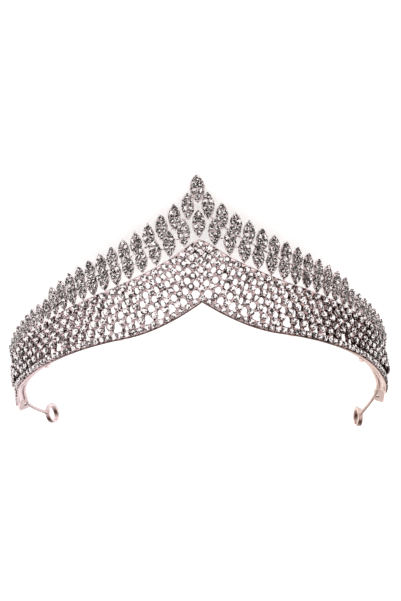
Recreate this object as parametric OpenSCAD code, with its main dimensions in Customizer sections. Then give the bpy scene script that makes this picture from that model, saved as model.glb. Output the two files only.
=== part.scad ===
// V-shaped tiara: a curved openwork band of round stones under a crest of stone-set leaves.
// It is modelled upright, then laid down on its apex leaf and its two end loops.
// Along the wall, s is the distance from the centre (left is negative), h the height up the
// leaning wall above the base plane, and o the distance out of the front face.

/* [Base curve] */
// Half the width of the oval that the band follows
half_width = 78; // [75:0.5:81]
// Half the depth of that oval
half_depth = 74.2; // [71:0.1:79]
// Outward lean of the wall, in degrees
wall_lean = 10; // [6:0.5:13]

/* [Openwork band] */
// Thickness of the cast net
net_t = 0.9; // [0.7:0.1:1.1]
// Height of the plain top rail
rail_w = 1.1; // [0.9:0.1:1.3]
// Distance between neighbouring stones in the top row
stone_pitch = 4.15; // [4.1:0.05:4.4]
// Distance from the top edge to the first row of stones
first_row = 2.1; // [2:0.1:2.3]
// Rise of the V notch under the centre
notch_h = 11; // [9:0.1:12]
// Half the width of the V notch
notch_w = 31; // [27:1:34]
// Share of each net cell that is open
hole_share = 0.6; // [0.4:0.05:0.65]
// Columns of cells that are cut through on each side
open_columns = 9; // [4:1:10]

/* [Stones] */
// Width of a net stone
stone_d = 2.8; // [2.4:0.1:2.8]
// Height of a net stone
stone_h = 1.5; // [1.2:0.1:1.7]
// Width of a leaf stone
leaf_stone_d = 2.0; // [1.6:0.1:2]

/* [Leaves] */
// Length of the leaves at the centre
leaf_l = 11.3; // [9.5:0.1:11.5]
// Width of the leaves at the centre
leaf_w = 5.2; // [4.4:0.1:5.2]
// Thickness of a leaf
leaf_t = 1.1; // [0.9:0.1:1.2]
// Length of the apex leaf
apex_l = 11.5; // [10:0.1:12.5]
// Width of the apex leaf
apex_w = 6; // [5:0.1:6.5]

/* [Base strip and wire] */
// Width of the strip behind the band
strip_w = 2.3; // [2.2:0.1:2.6]
// Width of the flared end plates
plate_w = 4.6; // [4.4:0.1:5]
// Thickness of the strip
strip_t = 0.8; // [0.6:0.1:1]
// Diameter of the base wire
wire_d = 1.2; // [1:0.1:1.4]
// Width across an end loop
loop_d = 8; // [7:0.5:9]
// Width of the hole through an end loop
loop_bore = 6; // [5:0.5:6]
// Depth of an end loop
loop_deep = 2.2; // [1.6:0.2:2.6]
// Width of the hole through an end plate
plate_bore = 1.8; // [1.4:0.1:2]

/* [Hidden] */
$fn = 48;

SILVER = [0.86, 0.84, 0.84];
WARM = [0.88, 0.79, 0.75];
CRYSTAL = [0.93, 0.93, 0.96];
JOINT = 0.1;        // thickness of a soldered joint between two pieces

// distance along the wall, height of the rail's top edge above the base plane
RAIL = [
    [0, 36.6], [5, 33.3], [10, 29.5], [16, 26.4], [24, 23.3], [34, 20.7], [46, 19.1],
    [62, 17.4], [78, 16.2], [90, 14.3], [100, 11], [108, 7.4], [114, 2.8], [117, 1.4], [120, 1.4]
];
// distance along the wall, distance between rows of stones there
ROWS = [
    [0, 2.75], [14, 3.05], [28, 3], [36, 3.2], [50, 2.95], [60, 2.8], [70, 3.3], [80, 3.2],
    [88, 2.75], [96, 3.1], [120, 3]
];
TAIL_MID = 111;     // where the band's tail bends
NET_END = 116;      // where the band ends
HEM_H = 2.5;        // height of the hem, which holds a row of small stones
HEM_CLEAR = 4;      // lowest place of a net stone above the bottom edge
MERGE = 4;          // columns over which the two arms of the net merge at the centre

STRIP_END = 112;    // where the strip meets the end plates
TWIST = 78;         // degrees that the strip turns flat towards its ends
TWIST_FROM = 70;    // where the twist starts
FLARE_FROM = 100;   // where the strip starts to widen towards the plates
ROOT_W = 3;         // width of the strip where it meets the plates
STRIP_LIFT = 0.7;   // how far the strip's edge hides above the hem's at the front

FLARE_L = 3;        // length of a plate's widening part
PLATE_OUT = 0.8;    // how far a plate widens outwards
PLATE_CUT = 1.2;    // size of a plate's cut inner corner
PLATE_DIP = 10;     // degrees that the plates are bent down
HOLE_ACROSS = 2.3;  // place of the hole across the plate

WIRE_END = 111;     // where the base wire ends and its bent tails start
BEND_GAP = 0.3;     // room between the wire's end and its tail
TAIL_RISE = 0.9;    // how far the tails stand off the plates as they leave them

LEAVES = 21;        // lower leaves on each side
UPPER = 13;         // upper leaves on each side
LINK_D = 0.75;      // thickness of a link between leaves
SINK = 0.12;        // depth of a link behind a leaf's surface
APEX_FOOT = 51;     // height of the apex leaf's lower tip

// The two ends were bent by hand, so they lie a little unevenly
END_SHIFT = [1.6, 0.8];     // sideways shift of the band's ends, left and right
SHIFT_FROM = 94;            // where that shift starts
PLATE_L = [6.4, 10.2];      // lengths of the plates
HOLE_OUT = [2.9, 6.3];      // distances of the holes from the plates' roots
TAIL_RUN = [3.4, 6];        // how far the wire's tails follow the plates
LOOP_LEFT = [-63.1, 87.2, 2];
LOOP_RIGHT = [69.3, 91.9, -2.9];
LOOP_TURN = [59.04, 99.11];  // headings of the loops
function of_side(v, side) = v[side < 0 ? 0 : 1];

// Base curve and wall

ARC_STEP = 2;
function curve(a) = [half_width * sin(a), half_depth * (1 - cos(a)), 0];
ARC = [
    for (a = 0, s = 0; a <= 130; s = s + norm(curve(a + ARC_STEP) - curve(a)), a = a + ARC_STEP)
        [s, a]
];
function turn(s) = sign(s) * lookup(abs(s), ARC);
function smooth(x) = let (t = min(1, max(0, x))) t * t * (3 - 2 * t);
function base(s) =
    curve(turn(s))
    + [of_side(END_SHIFT, s) * smooth((abs(s) - SHIFT_FROM) / (STRIP_END - SHIFT_FROM)), 0, 0];
function along(s) = let (v = base(s + 1) - base(s - 1)) v / norm(v);
function up(s) =
    let (t = along(s))
    [t.y * sin(wall_lean), -t.x * sin(wall_lean), cos(wall_lean)];
function out(s) = cross(along(s), up(s));
function wall(s, h, o = 0) = base(s) + h * up(s) + o * out(s);

function mean(v) = [for (x = v) 1] * v / len(v);
function rail_h(s) = mean([for (d = [-2:2]) lookup(abs(s) + d, RAIL)]);
function hem_h(s) = notch_h * pow(max(0, 1 - abs(s) / notch_w), 2);
function fall(s) =
    let (q = max(abs(s), 2.5))
    atan((rail_h(q - 1) - rail_h(q + 1)) / 2);
RAIL_RUN = [
    for (s = 0, u = 0; s <= NET_END + 8; u = u + norm([1, rail_h(s + 1) - rail_h(s)]), s = s + 1)
        [u, s]
];

// Puts children at a point of the wall: x runs along it, y up it and z out of it
module at_wall(s, h, o = 0) {
    p = wall(s, h, o);
    t = along(s);
    u = up(s);
    n = out(s);
    multmatrix([
        [t.x, u.x, n.x, p.x],
        [t.y, u.y, n.y, p.y],
        [t.z, u.z, n.z, p.z],
        [0, 0, 0, 1]
    ]) children();
}

// Round bar between two points
module bar(p, q, d) {
    v = q - p;
    translate(p)
        rotate([0, acos(v.z / norm(v)), atan2(v.y, v.x)])
            cylinder(h = norm(v), d = d);
}

// One polyhedron from a list of separate faces, each a list of points
module faces(list) {
    ends = [for (i = 0, n = 0; i < len(list); n = n + len(list[i]), i = i + 1) n];
    polyhedron(
        points = [for (f = list) each f],
        faces = [for (i = [0:len(list) - 1]) [for (k = [0:len(list[i]) - 1]) ends[i] + k]]
    );
}

// The net's lattice: column k and row j, on one arm, as [s, h]

function lattice_raw(k, j) =
    let (
        s = lookup((k + j / 2) * stone_pitch, RAIL_RUN),
        a = fall(s),
        d = first_row + j * lookup(s, ROWS)
    )
    [s - d * sin(a), rail_h(s) - d * cos(a), a];
function lattice(k, j) =
    let (p = lattice_raw(k, j), slide = -lattice_raw(0, j)[0] * max(0, 1 - k / MERGE))
    [p[0] + slide, p[1] - slide * tan(p[2])];
function fits(k, j) =
    let (p = lattice(k, j))
    p[1] - hem_h(p[0]) > HEM_CLEAR / cos(fall(p[0]));
function rows_fit(k) = len([for (j = [0:7]) if (fits(k, j)) j]) - 1;

COLUMNS = len([for (k = [0:40]) if (fits(k, 0)) k]) - 1;
LAST = [
    for (k = 0, n = rows_fit(0); k <= COLUMNS; k = k + 1, n = max(n - 1, min(n, rows_fit(k)))) n
];
NET = [for (k = [0:COLUMNS]) [for (j = [0:LAST[k]]) lattice(k, j)]];
TOP = [
    for (k = [0:COLUMNS])
        let (s = k == 0 ? 0 : lookup((k - 0.5) * stone_pitch, RAIL_RUN))
        [s, rail_h(s)]
];
UNDER = [for (p = TOP) [p[0], p[1] - rail_w / cos(fall(p[0]))]];
HEM = [for (k = [0:COLUMNS]) let (s = NET[k][LAST[k]][0]) [s, hem_h(s)]];
HEM_TOP = [for (p = HEM) [p[0], p[1] + HEM_H]];
function above(k, j) = j == 0 ? UNDER[k] : NET[k][j - 1];

// Faces of one arm in the wall's own plane, each anticlockwise as seen from the front
function cell(k, j) = [NET[k][j], NET[k][j + 1], NET[k + 1][j], above(k + 1, j)];
function low_cell(k) =
    let (j = LAST[k], low = [NET[k][j], HEM_TOP[k], HEM_TOP[k + 1]])
    LAST[k + 1] == j ? [each low, NET[k + 1][j], above(k + 1, j)] : [each low, above(k + 1, j)];
function shrunk(c) = let (m = mean(c)) [for (p = c) m + hole_share * (p - m)];
CELLS = [
    for (k = [0:COLUMNS - 1])
        each [for (j = [0:1:LAST[k] - 1]) [k, cell(k, j)], [k, low_cell(k)]]
];
OPEN = [for (c = CELLS) if (c[0] < open_columns) c[1]];
CLOSED = [for (c = CELLS) if (c[0] >= open_columns) c[1]];
RAIL_FACES = [for (k = [0:COLUMNS - 1]) [TOP[k], UNDER[k], UNDER[k + 1], TOP[k + 1]]];
RAIL_FILLETS = [for (k = [0:COLUMNS - 1]) [UNDER[k], NET[k][0], UNDER[k + 1]]];
HEM_FACES = [for (k = [0:COLUMNS - 1]) [HEM_TOP[k], HEM[k], HEM[k + 1], HEM_TOP[k + 1]]];
TAIL_LOW = [TAIL_MID, 0];
TAIL_HIGH = [TAIL_MID, rail_h(TAIL_MID)];
TIP = [[NET_END, 0], [NET_END, rail_h(NET_END)]];
TAIL = [
    [
        TOP[COLUMNS], UNDER[COLUMNS], each NET[COLUMNS], HEM_TOP[COLUMNS], HEM[COLUMNS],
        TAIL_LOW, TAIL_HIGH
    ],
    [TAIL_HIGH, TAIL_LOW, each TIP]
];
RINGS = [
    for (c = OPEN)
        let (h = shrunk(c))
        for (i = [0:len(c) - 1])
            let (k = (i + 1) % len(c))
            [c[i], c[k], h[k], h[i]]
];
PLAIN = concat(CLOSED, RAIL_FACES, RAIL_FILLETS, HEM_FACES, TAIL, RINGS);
EDGE = concat(
    [for (k = [COLUMNS:-1:0]) TOP[k]],
    [for (k = [0:COLUMNS]) HEM[k]],
    [TAIL_LOW, each TIP, TAIL_HIGH]
);

function reverse(v) = [for (i = [len(v) - 1:-1:0]) v[i]];
function placed(f, side, o) = [for (p = f) wall(side * p[0], p[1], o)];
function facing(f, side, flip) = (side > 0) == flip ? reverse(f) : f;
function rim(v, side, flip, closed) = [
    for (i = [0:len(v) - (closed ? 1 : 2)])
        let (p = v[i], q = v[(i + 1) % len(v)])
        facing(
            [each placed([p, q], side, 0), each placed([q, p], side, -net_t)],
            side, flip
        )
];
function arm_faces(side) = [
    for (f = PLAIN) facing(placed(f, side, 0), side, true),
    for (f = PLAIN) facing(placed(f, side, -net_t), side, false),
    for (c = OPEN) each rim(shrunk(c), side, true, true),
    each rim(slice_from_top(EDGE), side, false, false)
];
// The edge runs from the centre's hem, round the tail, and back along the rail to the centre
function slice_from_top(v) = concat(
    [for (i = [COLUMNS + 1:len(v) - 1]) v[i]],
    [for (i = [0:COLUMNS]) v[i]]
);

module band() {
    color(SILVER) faces([for (side = [-1, 1]) each arm_faces(side)]);
}

// Stones: an eight-sided table, crown, girdle and pavilion

STONE_SIDES = 8;
TABLE = 0.6;        // width of the table, as a share of the stone
CROWN = 0.36;       // height of the crown, as a share of the stone's height
function ring(p, t, u, n, r, z) = [
    for (i = [0:STONE_SIDES - 1])
        let (a = (i + 0.5) * 360 / STONE_SIDES)
        p + r * cos(a) * t + r * sin(a) * u + z * n
];
function stone_faces(s, h, o, d, z) =
    let (
        p = wall(s, h, o), t = along(s), u = up(s), n = out(s),
        table = ring(p, t, u, n, TABLE * d / 2, z),
        girdle = ring(p, t, u, n, d / 2, z * (1 - CROWN))
    )
    [
        reverse(table),
        for (i = [0:STONE_SIDES - 1])
            let (k = (i + 1) % STONE_SIDES)
            each [[table[i], table[k], girdle[k], girdle[i]], [girdle[i], girdle[k], p]]
    ];

module net_stones(side) {
    first = side > 0 ? 0 : 1;
    color(CRYSTAL) faces([
        for (k = [first:COLUMNS])
            for (p = NET[k])
                each stone_faces(side * p[0], p[1], JOINT, stone_d, stone_h)
    ]);
}
module net_stones_left() { net_stones(-1); }
module net_stones_right() { net_stones(1); }

// Leaves: a pointed oval with a raised rim round its stones

LEAF_BACK = -0.9;   // where a lower leaf's back lies
RIM = 0.45;         // width of the raised rim
RECESS = 0.25;      // depth inside the rim
module pointed_oval(l, w, t) {
    r = (l * l + w * w) / (4 * w);
    intersection() {
        translate([r - w / 2, 0, 0]) cylinder(h = t, r = r, $fn = 96);
        translate([w / 2 - r, 0, 0]) cylinder(h = t, r = r, $fn = 96);
    }
}
module leaf(l, w) {
    difference() {
        pointed_oval(l, w, leaf_t);
        translate([0, 0, leaf_t - RECESS])
            pointed_oval(l - 2 * RIM * l / w, w - 2 * RIM, leaf_t);
    }
}

// Places and sizes of the leaves, counted outwards from the centre
LEAF_STEP = 5.57;   // distance from the centre leaf to the next
LEAF_SHRINK = 0.045;
FIRST_UPPER = 3.6;
UPPER_STEP = 4.97;
UPPER_SHRINK = 0.01;
function leaf_s(k) = LEAF_STEP * k - LEAF_SHRINK * k * k;
function leaf_len(s) = leaf_l - 0.043 * abs(s);
function leaf_wid(k) = min(leaf_w, 0.93 * (leaf_s(k + 0.5) - leaf_s(k - 0.5)));
function leaf_foot(k) = rail_h(leaf_s(k));
function leaf_tip(k) = leaf_foot(k) + leaf_len(leaf_s(k));
// The upper leaves' feet drop from the lower leaves' tips to their waists, going outwards
function upper_s(k) = FIRST_UPPER + UPPER_STEP * k - UPPER_SHRINK * k * k;
function upper_foot(k) = rail_h(upper_s(k)) + 10.7 - 0.11 * upper_s(k);

// Each lower leaf stands on the rail by its point, cut to leave room for the rail's slope
module lower_leaf(k, side) {
    s = leaf_s(k);
    l = leaf_len(s);
    lift = JOINT + LINK_D * tan(fall(s));
    at_wall(side * s, leaf_foot(k) + lift + l / 2, LEAF_BACK)
        leaf(l, leaf_wid(k));
}
module lower_leaves(side) {
    inset = 0.34;       // how far a link reaches into a leaf, as a share of the leaf
    color(SILVER) union() {
        for (k = [1:LEAVES]) lower_leaf(k, side);
        for (k = [1:LEAVES - 1]) {
            h = (leaf_foot(k) + leaf_tip(k) + leaf_foot(k + 1) + leaf_tip(k + 1)) / 4;
            o = LEAF_BACK + leaf_t / 2 - RECESS / 2;
            bar(
                wall(side * (leaf_s(k) + inset * leaf_wid(k)), h, o),
                wall(side * (leaf_s(k + 1) - inset * leaf_wid(k + 1)), h, o),
                LINK_D - RECESS
            );
        }
    }
}
module lower_leaves_left() { lower_leaves(-1); }
module lower_leaves_right() { lower_leaves(1); }

// The upper leaves are joined near their feet, and lie behind the tips of the lower leaves
UPPER_BACK = LEAF_BACK - JOINT - leaf_t;
LINK_UP = 1.4;      // height of a link above the upper leaves' feet
LINK_IN = 0.45;     // distance of a link's end from the middle of its leaf
module upper_leaves(side) {
    o = UPPER_BACK + LINK_D / 2 + SINK;
    color(SILVER) union() {
        for (k = [0:UPPER - 1]) {
            l = leaf_len(upper_s(k));
            at_wall(side * upper_s(k), upper_foot(k) + l / 2, UPPER_BACK)
                leaf(l, leaf_wid(k + 0.5));
        }
        for (k = [0:UPPER - 2]) {
            bar(
                wall(side * (upper_s(k) + LINK_IN), upper_foot(k) + LINK_UP, o),
                wall(side * (upper_s(k + 1) - LINK_IN), upper_foot(k + 1) + LINK_UP, o),
                LINK_D
            );
        }
    }
}
module upper_leaves_left() { upper_leaves(-1); }
module upper_leaves_right() { upper_leaves(1); }

module centre_leaf() {
    color(SILVER) union() {
        lower_leaf(0, 1);
    }
}

// The apex leaf's two shoulders reach to the tips of the first upper leaves
module apex_leaf() {
    shoulder = upper_foot(0) + leaf_len(upper_s(0)) - 2;
    o = LEAF_BACK + LINK_D / 2 + SINK;
    color(SILVER) union() {
        at_wall(0, APEX_FOOT + apex_l / 2, LEAF_BACK) leaf(apex_l, apex_w);
        for (side = [-1, 1]) {
            bar(
                wall(0, APEX_FOOT + 2, o),
                wall(side * upper_s(0) * 0.85, shoulder, o),
                LINK_D
            );
        }
    }
}

// Six stones on a leaf: one at each tip and two pairs between them
LEAF_SPOTS = [[0, 0.34], [0.22, 0.13], [-0.22, 0.13], [0.22, -0.11], [-0.22, -0.11], [0, -0.33]];
module leaf_stones(foot, l, w) {
    color(CRYSTAL) faces([
        for (p = LEAF_SPOTS)
            each stone_faces(
                p[0] * w, foot + l / 2 + p[1] * l,
                LEAF_BACK + leaf_t - RECESS + JOINT, leaf_stone_d, stone_h * 0.7
            )
    ]);
}
module centre_leaf_stones() { leaf_stones(leaf_foot(0), leaf_len(0), leaf_w); }
module apex_leaf_stones() { leaf_stones(APEX_FOOT, apex_l, apex_w); }

// Base strip: it stands behind the hem at the front and turns flat towards the ends

function twist(s) =
    TWIST * pow(min(1, max(0, (abs(s) - TWIST_FROM) / (STRIP_END - TWIST_FROM))), 3);
function flare(s) = smooth((abs(s) - FLARE_FROM) / (STRIP_END - FLARE_FROM));
function strip_wide(s) = strip_w + (ROOT_W - strip_w) * flare(s);
function strip_lift(s) = STRIP_LIFT * (1 - smooth((abs(s) - 30) / 60));
function strip_foot(s) = wall(s, hem_h(s) + strip_lift(s), -net_t - JOINT);
function strip_across(s) = cos(twist(s)) * up(s) - sin(twist(s)) * out(s);
function strip_face(s) = -cos(twist(s)) * out(s) - sin(twist(s)) * up(s);
function strip_at(s, w, z) = strip_foot(s) + w * strip_across(s) + z * strip_face(s);

// A closed tube through rings that all have the same number of points
module loft(rings) {
    n = len(rings[0]);
    last = len(rings) - 1;
    polyhedron(
        points = [for (r = rings) each r],
        faces = [
            [for (i = [n - 1:-1:0]) i],
            [for (i = [0:n - 1]) last * n + i],
            for (k = [0:last - 1])
                for (i = [0:n - 1])
                    let (m = (i + 1) % n)
                    [k * n + i, k * n + m, k * n + n + m, k * n + n + i]
        ]
    );
}

STRIP_STEP = 2;
module base_strip() {
    color(WARM) loft([
        for (s = [-STRIP_END:STRIP_STEP:STRIP_END]) [
            strip_at(s, 0, 0), strip_at(s, strip_wide(s), 0),
            strip_at(s, strip_wide(s), strip_t), strip_at(s, 0, strip_t)
        ]
    ]);
}

// Base wire: soldered along the strip, low at the front and on the inner edge at the ends
WIRE_SIDES = 6;
WIRE_STEP = 3;
WIRE_LOW = 1.4;     // distance of the wire's middle from the strip's edge at the front
function wire_across(s) =
    WIRE_LOW + (ROOT_W - wire_d / 2 - JOINT - WIRE_LOW) * flare(s);
function wire_centre(s) = strip_at(s, wire_across(s), strip_t + JOINT + wire_d / 2);
module base_wire() {
    color(WARM) loft([
        for (s = [-WIRE_END:WIRE_STEP:WIRE_END])
            let (p = wire_centre(s), u = strip_across(s), n = strip_face(s))
            [
                for (i = [0:WIRE_SIDES - 1])
                    let (a = i * 360 / WIRE_SIDES)
                    p + wire_d / 2 * (cos(a) * u + sin(a) * n)
            ]
    ]);
}

// End plates: the bare ends of the strip, flared and bent down, each with a round hole
function plate_out(side) =
    let (s = side * STRIP_END)
    cos(PLATE_DIP) * side * along(s) + sin(PLATE_DIP) * strip_face(s);
function plate_face(side) =
    let (s = side * STRIP_END)
    cos(PLATE_DIP) * strip_face(s) - sin(PLATE_DIP) * side * along(s);
PLATE_GAP = JOINT + strip_t * tan(PLATE_DIP);
module end_plate(side) {
    p = strip_foot(side * STRIP_END);
    t = side * plate_out(side);
    d = strip_across(side * STRIP_END);
    m = plate_face(side);
    l = of_side(PLATE_L, side);
    far = plate_w - PLATE_OUT;
    color(WARM) multmatrix([
        [t.x, d.x, -m.x, p.x],
        [t.y, d.y, -m.y, p.y],
        [t.z, d.z, -m.z, p.z],
        [0, 0, 0, 1]
    ]) difference() {
        translate([0, 0, -strip_t]) linear_extrude(strip_t) polygon([
            [side * PLATE_GAP, 0], [side * PLATE_GAP, ROOT_W], [side * FLARE_L, far],
            [side * (l - PLATE_CUT), far], [side * l, far - PLATE_CUT],
            [side * l, PLATE_CUT / 4 - PLATE_OUT], [side * (l - PLATE_CUT / 4), -PLATE_OUT],
            [side * FLARE_L, -PLATE_OUT]
        ]);
        translate([side * of_side(HOLE_OUT, side), HOLE_ACROSS, -2 * strip_t])
            cylinder(h = 4 * strip_t, d = plate_bore);
    }
}
module end_plate_left() { end_plate(-1); }
module end_plate_right() { end_plate(1); }

// End loops: a short upright ring on the bent end of the wire
TAIL_STEPS = 8;
function tail_start(side) =
    let (s = side * WIRE_END)
    wire_centre(s) + side * BEND_GAP * along(s) + JOINT * strip_face(s);
function tail_bend(side) =
    tail_start(side) + of_side(TAIL_RUN, side) * plate_out(side) + TAIL_RISE * plate_face(side);
function tail_stop(side, centre, heading) =
    let (
        v = centre - tail_bend(side),
        level = [cos(heading), sin(heading), 0],
        w = (v * level) * level + [0, 0, v.z]
    )
    centre - w / norm(w) * (loop_d + loop_bore) / 4;
function tail_ring(p, q) =
    let (x = cross(q, [0, 0, 1]), u = x / norm(x), w = cross(u, q / norm(q)))
    [
        for (i = [0:WIRE_SIDES - 1])
            let (a = i * 360 / WIRE_SIDES)
            p + wire_d / 2 * (cos(a) * u + sin(a) * w)
    ];
module end_loop(side, centre) {
    heading = of_side(LOOP_TURN, side);
    a = tail_start(side);
    b = tail_bend(side);
    c = tail_stop(side, centre, heading);
    color(WARM) union() {
        loft([
            for (i = [0:TAIL_STEPS])
                let (f = i / TAIL_STEPS, g = 1 - f)
                tail_ring(g * g * a + 2 * f * g * b + f * f * c, g * (b - a) + f * (c - b))
        ]);
        difference() {
            translate(centre)
                rotate([90, 0, heading])
                    cylinder(h = loop_deep, d = loop_d, center = true);
            translate(centre)
                rotate([90, 0, heading])
                    cylinder(h = 2 * loop_deep, d = loop_bore, center = true);
        }
    }
}
module end_loop_left() { end_loop(-1, LOOP_LEFT); }
module end_loop_right() { end_loop(1, LOOP_RIGHT); }

// Lays the tiara on its apex leaf and end loops, with its front up, as it lies by itself
LAY_BACK = 209.957; // angle at which the apex leaf and the loops touch the ground
LAY_ROLL = 0.848;   // small tilt that evens out the loops
LAY_MOVE = [-0.527, -22.447, 48.484];
module laid() {
    translate(LAY_MOVE) rotate([LAY_BACK, LAY_ROLL, 180]) children();
}

laid() band();
laid() base_strip();
laid() base_wire();
laid() end_plate_left();
laid() end_plate_right();
laid() end_loop_left();
laid() end_loop_right();
laid() centre_leaf();
laid() apex_leaf();
laid() lower_leaves_left();
laid() lower_leaves_right();
laid() upper_leaves_left();
laid() upper_leaves_right();
laid() net_stones_left();
laid() net_stones_right();
laid() centre_leaf_stones();
laid() apex_leaf_stones();
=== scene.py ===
"""The v-shaped tiara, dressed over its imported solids.

Every shape is worked out upright in millimetres, as the metal was bent, and is then laid
down on the apex leaf and the two end loops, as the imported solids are. Along the wall, s is
the distance from the centre, h the height up the wall and o the distance out of its face.
"""

import logging
import math
from dataclasses import dataclass, field, replace
from enum import Enum

import bpy
import numpy as np
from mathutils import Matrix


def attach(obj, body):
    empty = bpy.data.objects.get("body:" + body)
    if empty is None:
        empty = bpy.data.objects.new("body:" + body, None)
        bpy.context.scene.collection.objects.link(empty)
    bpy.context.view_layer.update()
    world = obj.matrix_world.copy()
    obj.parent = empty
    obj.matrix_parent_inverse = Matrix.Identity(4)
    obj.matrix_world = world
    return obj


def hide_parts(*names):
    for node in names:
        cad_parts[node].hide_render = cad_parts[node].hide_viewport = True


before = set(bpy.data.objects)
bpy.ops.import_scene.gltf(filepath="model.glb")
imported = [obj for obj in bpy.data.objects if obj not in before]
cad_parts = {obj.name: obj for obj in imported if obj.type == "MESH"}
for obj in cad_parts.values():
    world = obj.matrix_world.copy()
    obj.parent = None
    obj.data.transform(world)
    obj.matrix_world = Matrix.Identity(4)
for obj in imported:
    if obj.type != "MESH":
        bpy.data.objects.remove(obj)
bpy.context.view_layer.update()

log = logging.getLogger("tiara")
Array = np.ndarray
Amount = float | Array
Colour = tuple[float, float, float]
Mesh = tuple[Array, list[Array]]
Finishes = dict[str, bpy.types.Material]
SEED = 11
UP = np.array([0, 0, 1.0])


class Side(Enum):
    """The two arms of the tiara."""

    LEFT = -1
    RIGHT = 1

    def facing(self, faces: Array) -> Array:
        """Faces worked out for the right arm, turned round for the left one."""
        return faces if self is Side.RIGHT else faces[:, ::-1]

    @property
    def word(self) -> str:
        """The side's name in the names of the pieces."""
        return self.name.lower()


# Placing and meshes


@dataclass(frozen=True)
class Lay:
    """Lays the upright tiara on its apex leaf and end loops, and turns millimetres to metres."""

    back: float = 209.957
    roll: float = 0.848
    turn: float = 180.0
    move: tuple[float, float, float] = (-0.527, -22.447, 48.484)

    def matrix(self) -> Array:
        """The turn about x, then y, then z, as one 3 by 3 matrix.

        Returns:
            The matrix that turns points written as columns.
        """
        a, b, c = np.radians([self.back, self.roll, self.turn])
        about_x = np.array([[1, 0, 0], [0, math.cos(a), -math.sin(a)], [0, math.sin(a), math.cos(a)]])
        about_y = np.array([[math.cos(b), 0, math.sin(b)], [0, 1, 0], [-math.sin(b), 0, math.cos(b)]])
        about_z = np.array([[math.cos(c), -math.sin(c), 0], [math.sin(c), math.cos(c), 0], [0, 0, 1]])
        return about_z @ about_y @ about_x

    def apply(self, points: Array) -> Array:
        """Lays points down: the turn times each, plus the move, over a thousand."""
        return (points @ self.matrix().T + np.array(self.move)) / 1000


@dataclass
class Shape:
    """Points and faces of one piece in the making, upright and in millimetres."""

    points: list[Array] = field(default_factory=list)
    faces: list[Array] = field(default_factory=list)
    tones: list[Array] = field(default_factory=list)
    count: int = 0

    def add(self, points: Array, faces: list[Array], tone: float | list[Array] = 1.0) -> None:
        """Adds points and the faces that use them.

        Args:
            points: points shaped (..., 3).
            faces: arrays of point numbers, one array for each number of corners.
            tone: painted shade and painted reflections, how bright the faces are, from 0 or less in a deep
                recess to 1 in the open.
        """
        flat = points.reshape(-1, 3)
        self.points.append(flat)
        for i, group in enumerate(faces):
            self.faces.append(group.reshape(-1, group.shape[-1]) + self.count)
            value = tone[i] if isinstance(tone, list) else tone
            self.tones.append(np.broadcast_to(value, (len(self.faces[-1]),)).astype(np.float32))
        self.count += len(flat)

    def mesh(self, name: str, smooth: float) -> bpy.types.Mesh:
        """Makes the mesh, laid down and in metres.

        Args:
            name: the mesh's name.
            smooth: largest angle in degrees between faces that are shaded as one surface.

        Returns:
            The mesh, with the faces' tones, painted shade and painted reflections, in the attribute "tone".
        """
        made = bpy.data.meshes.new(name)
        laid = Lay().apply(np.vstack(self.points))
        sizes = np.concatenate([np.full(len(f), f.shape[1]) for f in self.faces])
        made.vertices.add(len(laid))
        made.vertices.foreach_set("co", laid.astype(np.float32).ravel())
        made.loops.add(int(sizes.sum()))
        made.loops.foreach_set("vertex_index", np.concatenate([f.ravel() for f in self.faces]))
        made.polygons.add(len(sizes))
        made.polygons.foreach_set("loop_start", np.concatenate([[0], np.cumsum(sizes)[:-1]]))
        made.attributes.new("tone", "FLOAT", "FACE").data.foreach_set("value", np.concatenate(self.tones))
        made.update(calc_edges=True)
        made.validate()
        made.polygons.foreach_set("use_smooth", np.full(len(made.polygons), smooth > 0))
        if smooth > 0:
            made.set_sharp_from_angle(angle=math.radians(smooth))
        return made


def into_scene(name: str, data: bpy.types.ID) -> bpy.types.Object:
    """Makes an object and links it to the scene.

    Args:
        name: the object's name.
        data: its mesh, lamp or camera.

    Returns:
        The object.
    """
    made = bpy.data.objects.new(name, data)
    bpy.context.scene.collection.objects.link(made)
    return made


def put(shape: Shape, name: str, finishes: Finishes, slot: str, *nodes: str, smooth: float = 35.0) -> None:
    """Puts a finished shape into the scene as a piece.

    Args:
        shape: the piece's points and faces.
        name: the piece's name.
        finishes: the materials, by the record's material slots.
        slot: the piece's slot.
        nodes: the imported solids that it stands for.
        smooth: largest angle in degrees between faces shaded as one surface.
    """
    piece = into_scene(name, shape.mesh(name, smooth))
    piece.data.materials.append(finishes[slot])
    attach(piece, "root")
    if nodes:
        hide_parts(*nodes)
    log.info("%s: %d points, %d faces", name, len(piece.data.vertices), len(piece.data.polygons))


def unit(v: Array) -> Array:
    """The same directions with a length of 1."""
    return v / np.linalg.norm(v, axis=-1, keepdims=True)


def loft_faces(rings: int, sides: int, closed: bool = True) -> Array:
    """Quads between rings of points that follow one another.

    Args:
        rings: number of rings.
        sides: number of points in a ring.
        closed: whether each ring's last point joins its first.

    Returns:
        Point numbers, shaped (n, 4). Rings that go anticlockwise and rise face outwards.
    """
    i = np.arange(rings - 1)[:, None] * sides
    j = np.arange(sides if closed else sides - 1)[None, :]
    k = (j + 1) % sides
    return np.stack([i + j, i + k, i + sides + k, i + sides + j], -1).reshape(-1, 4)


def tube(rings: Array) -> list[Array]:
    """Faces of a tube through rings shaped (n, sides, 3): the side's quads and two flat ends."""
    n, m = rings.shape[:2]
    return [loft_faces(n, m), np.stack([np.arange(m)[::-1], (n - 1) * m + np.arange(m)])]


def copies(faces: list[Array], n: int, points: int) -> list[Array]:
    """The faces of n like shapes that follow one another, with so many points each."""
    shift = (np.arange(n) * points)[:, None, None]
    return [(f[None] + shift).reshape(-1, f.shape[-1]) for f in faces]


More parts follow.
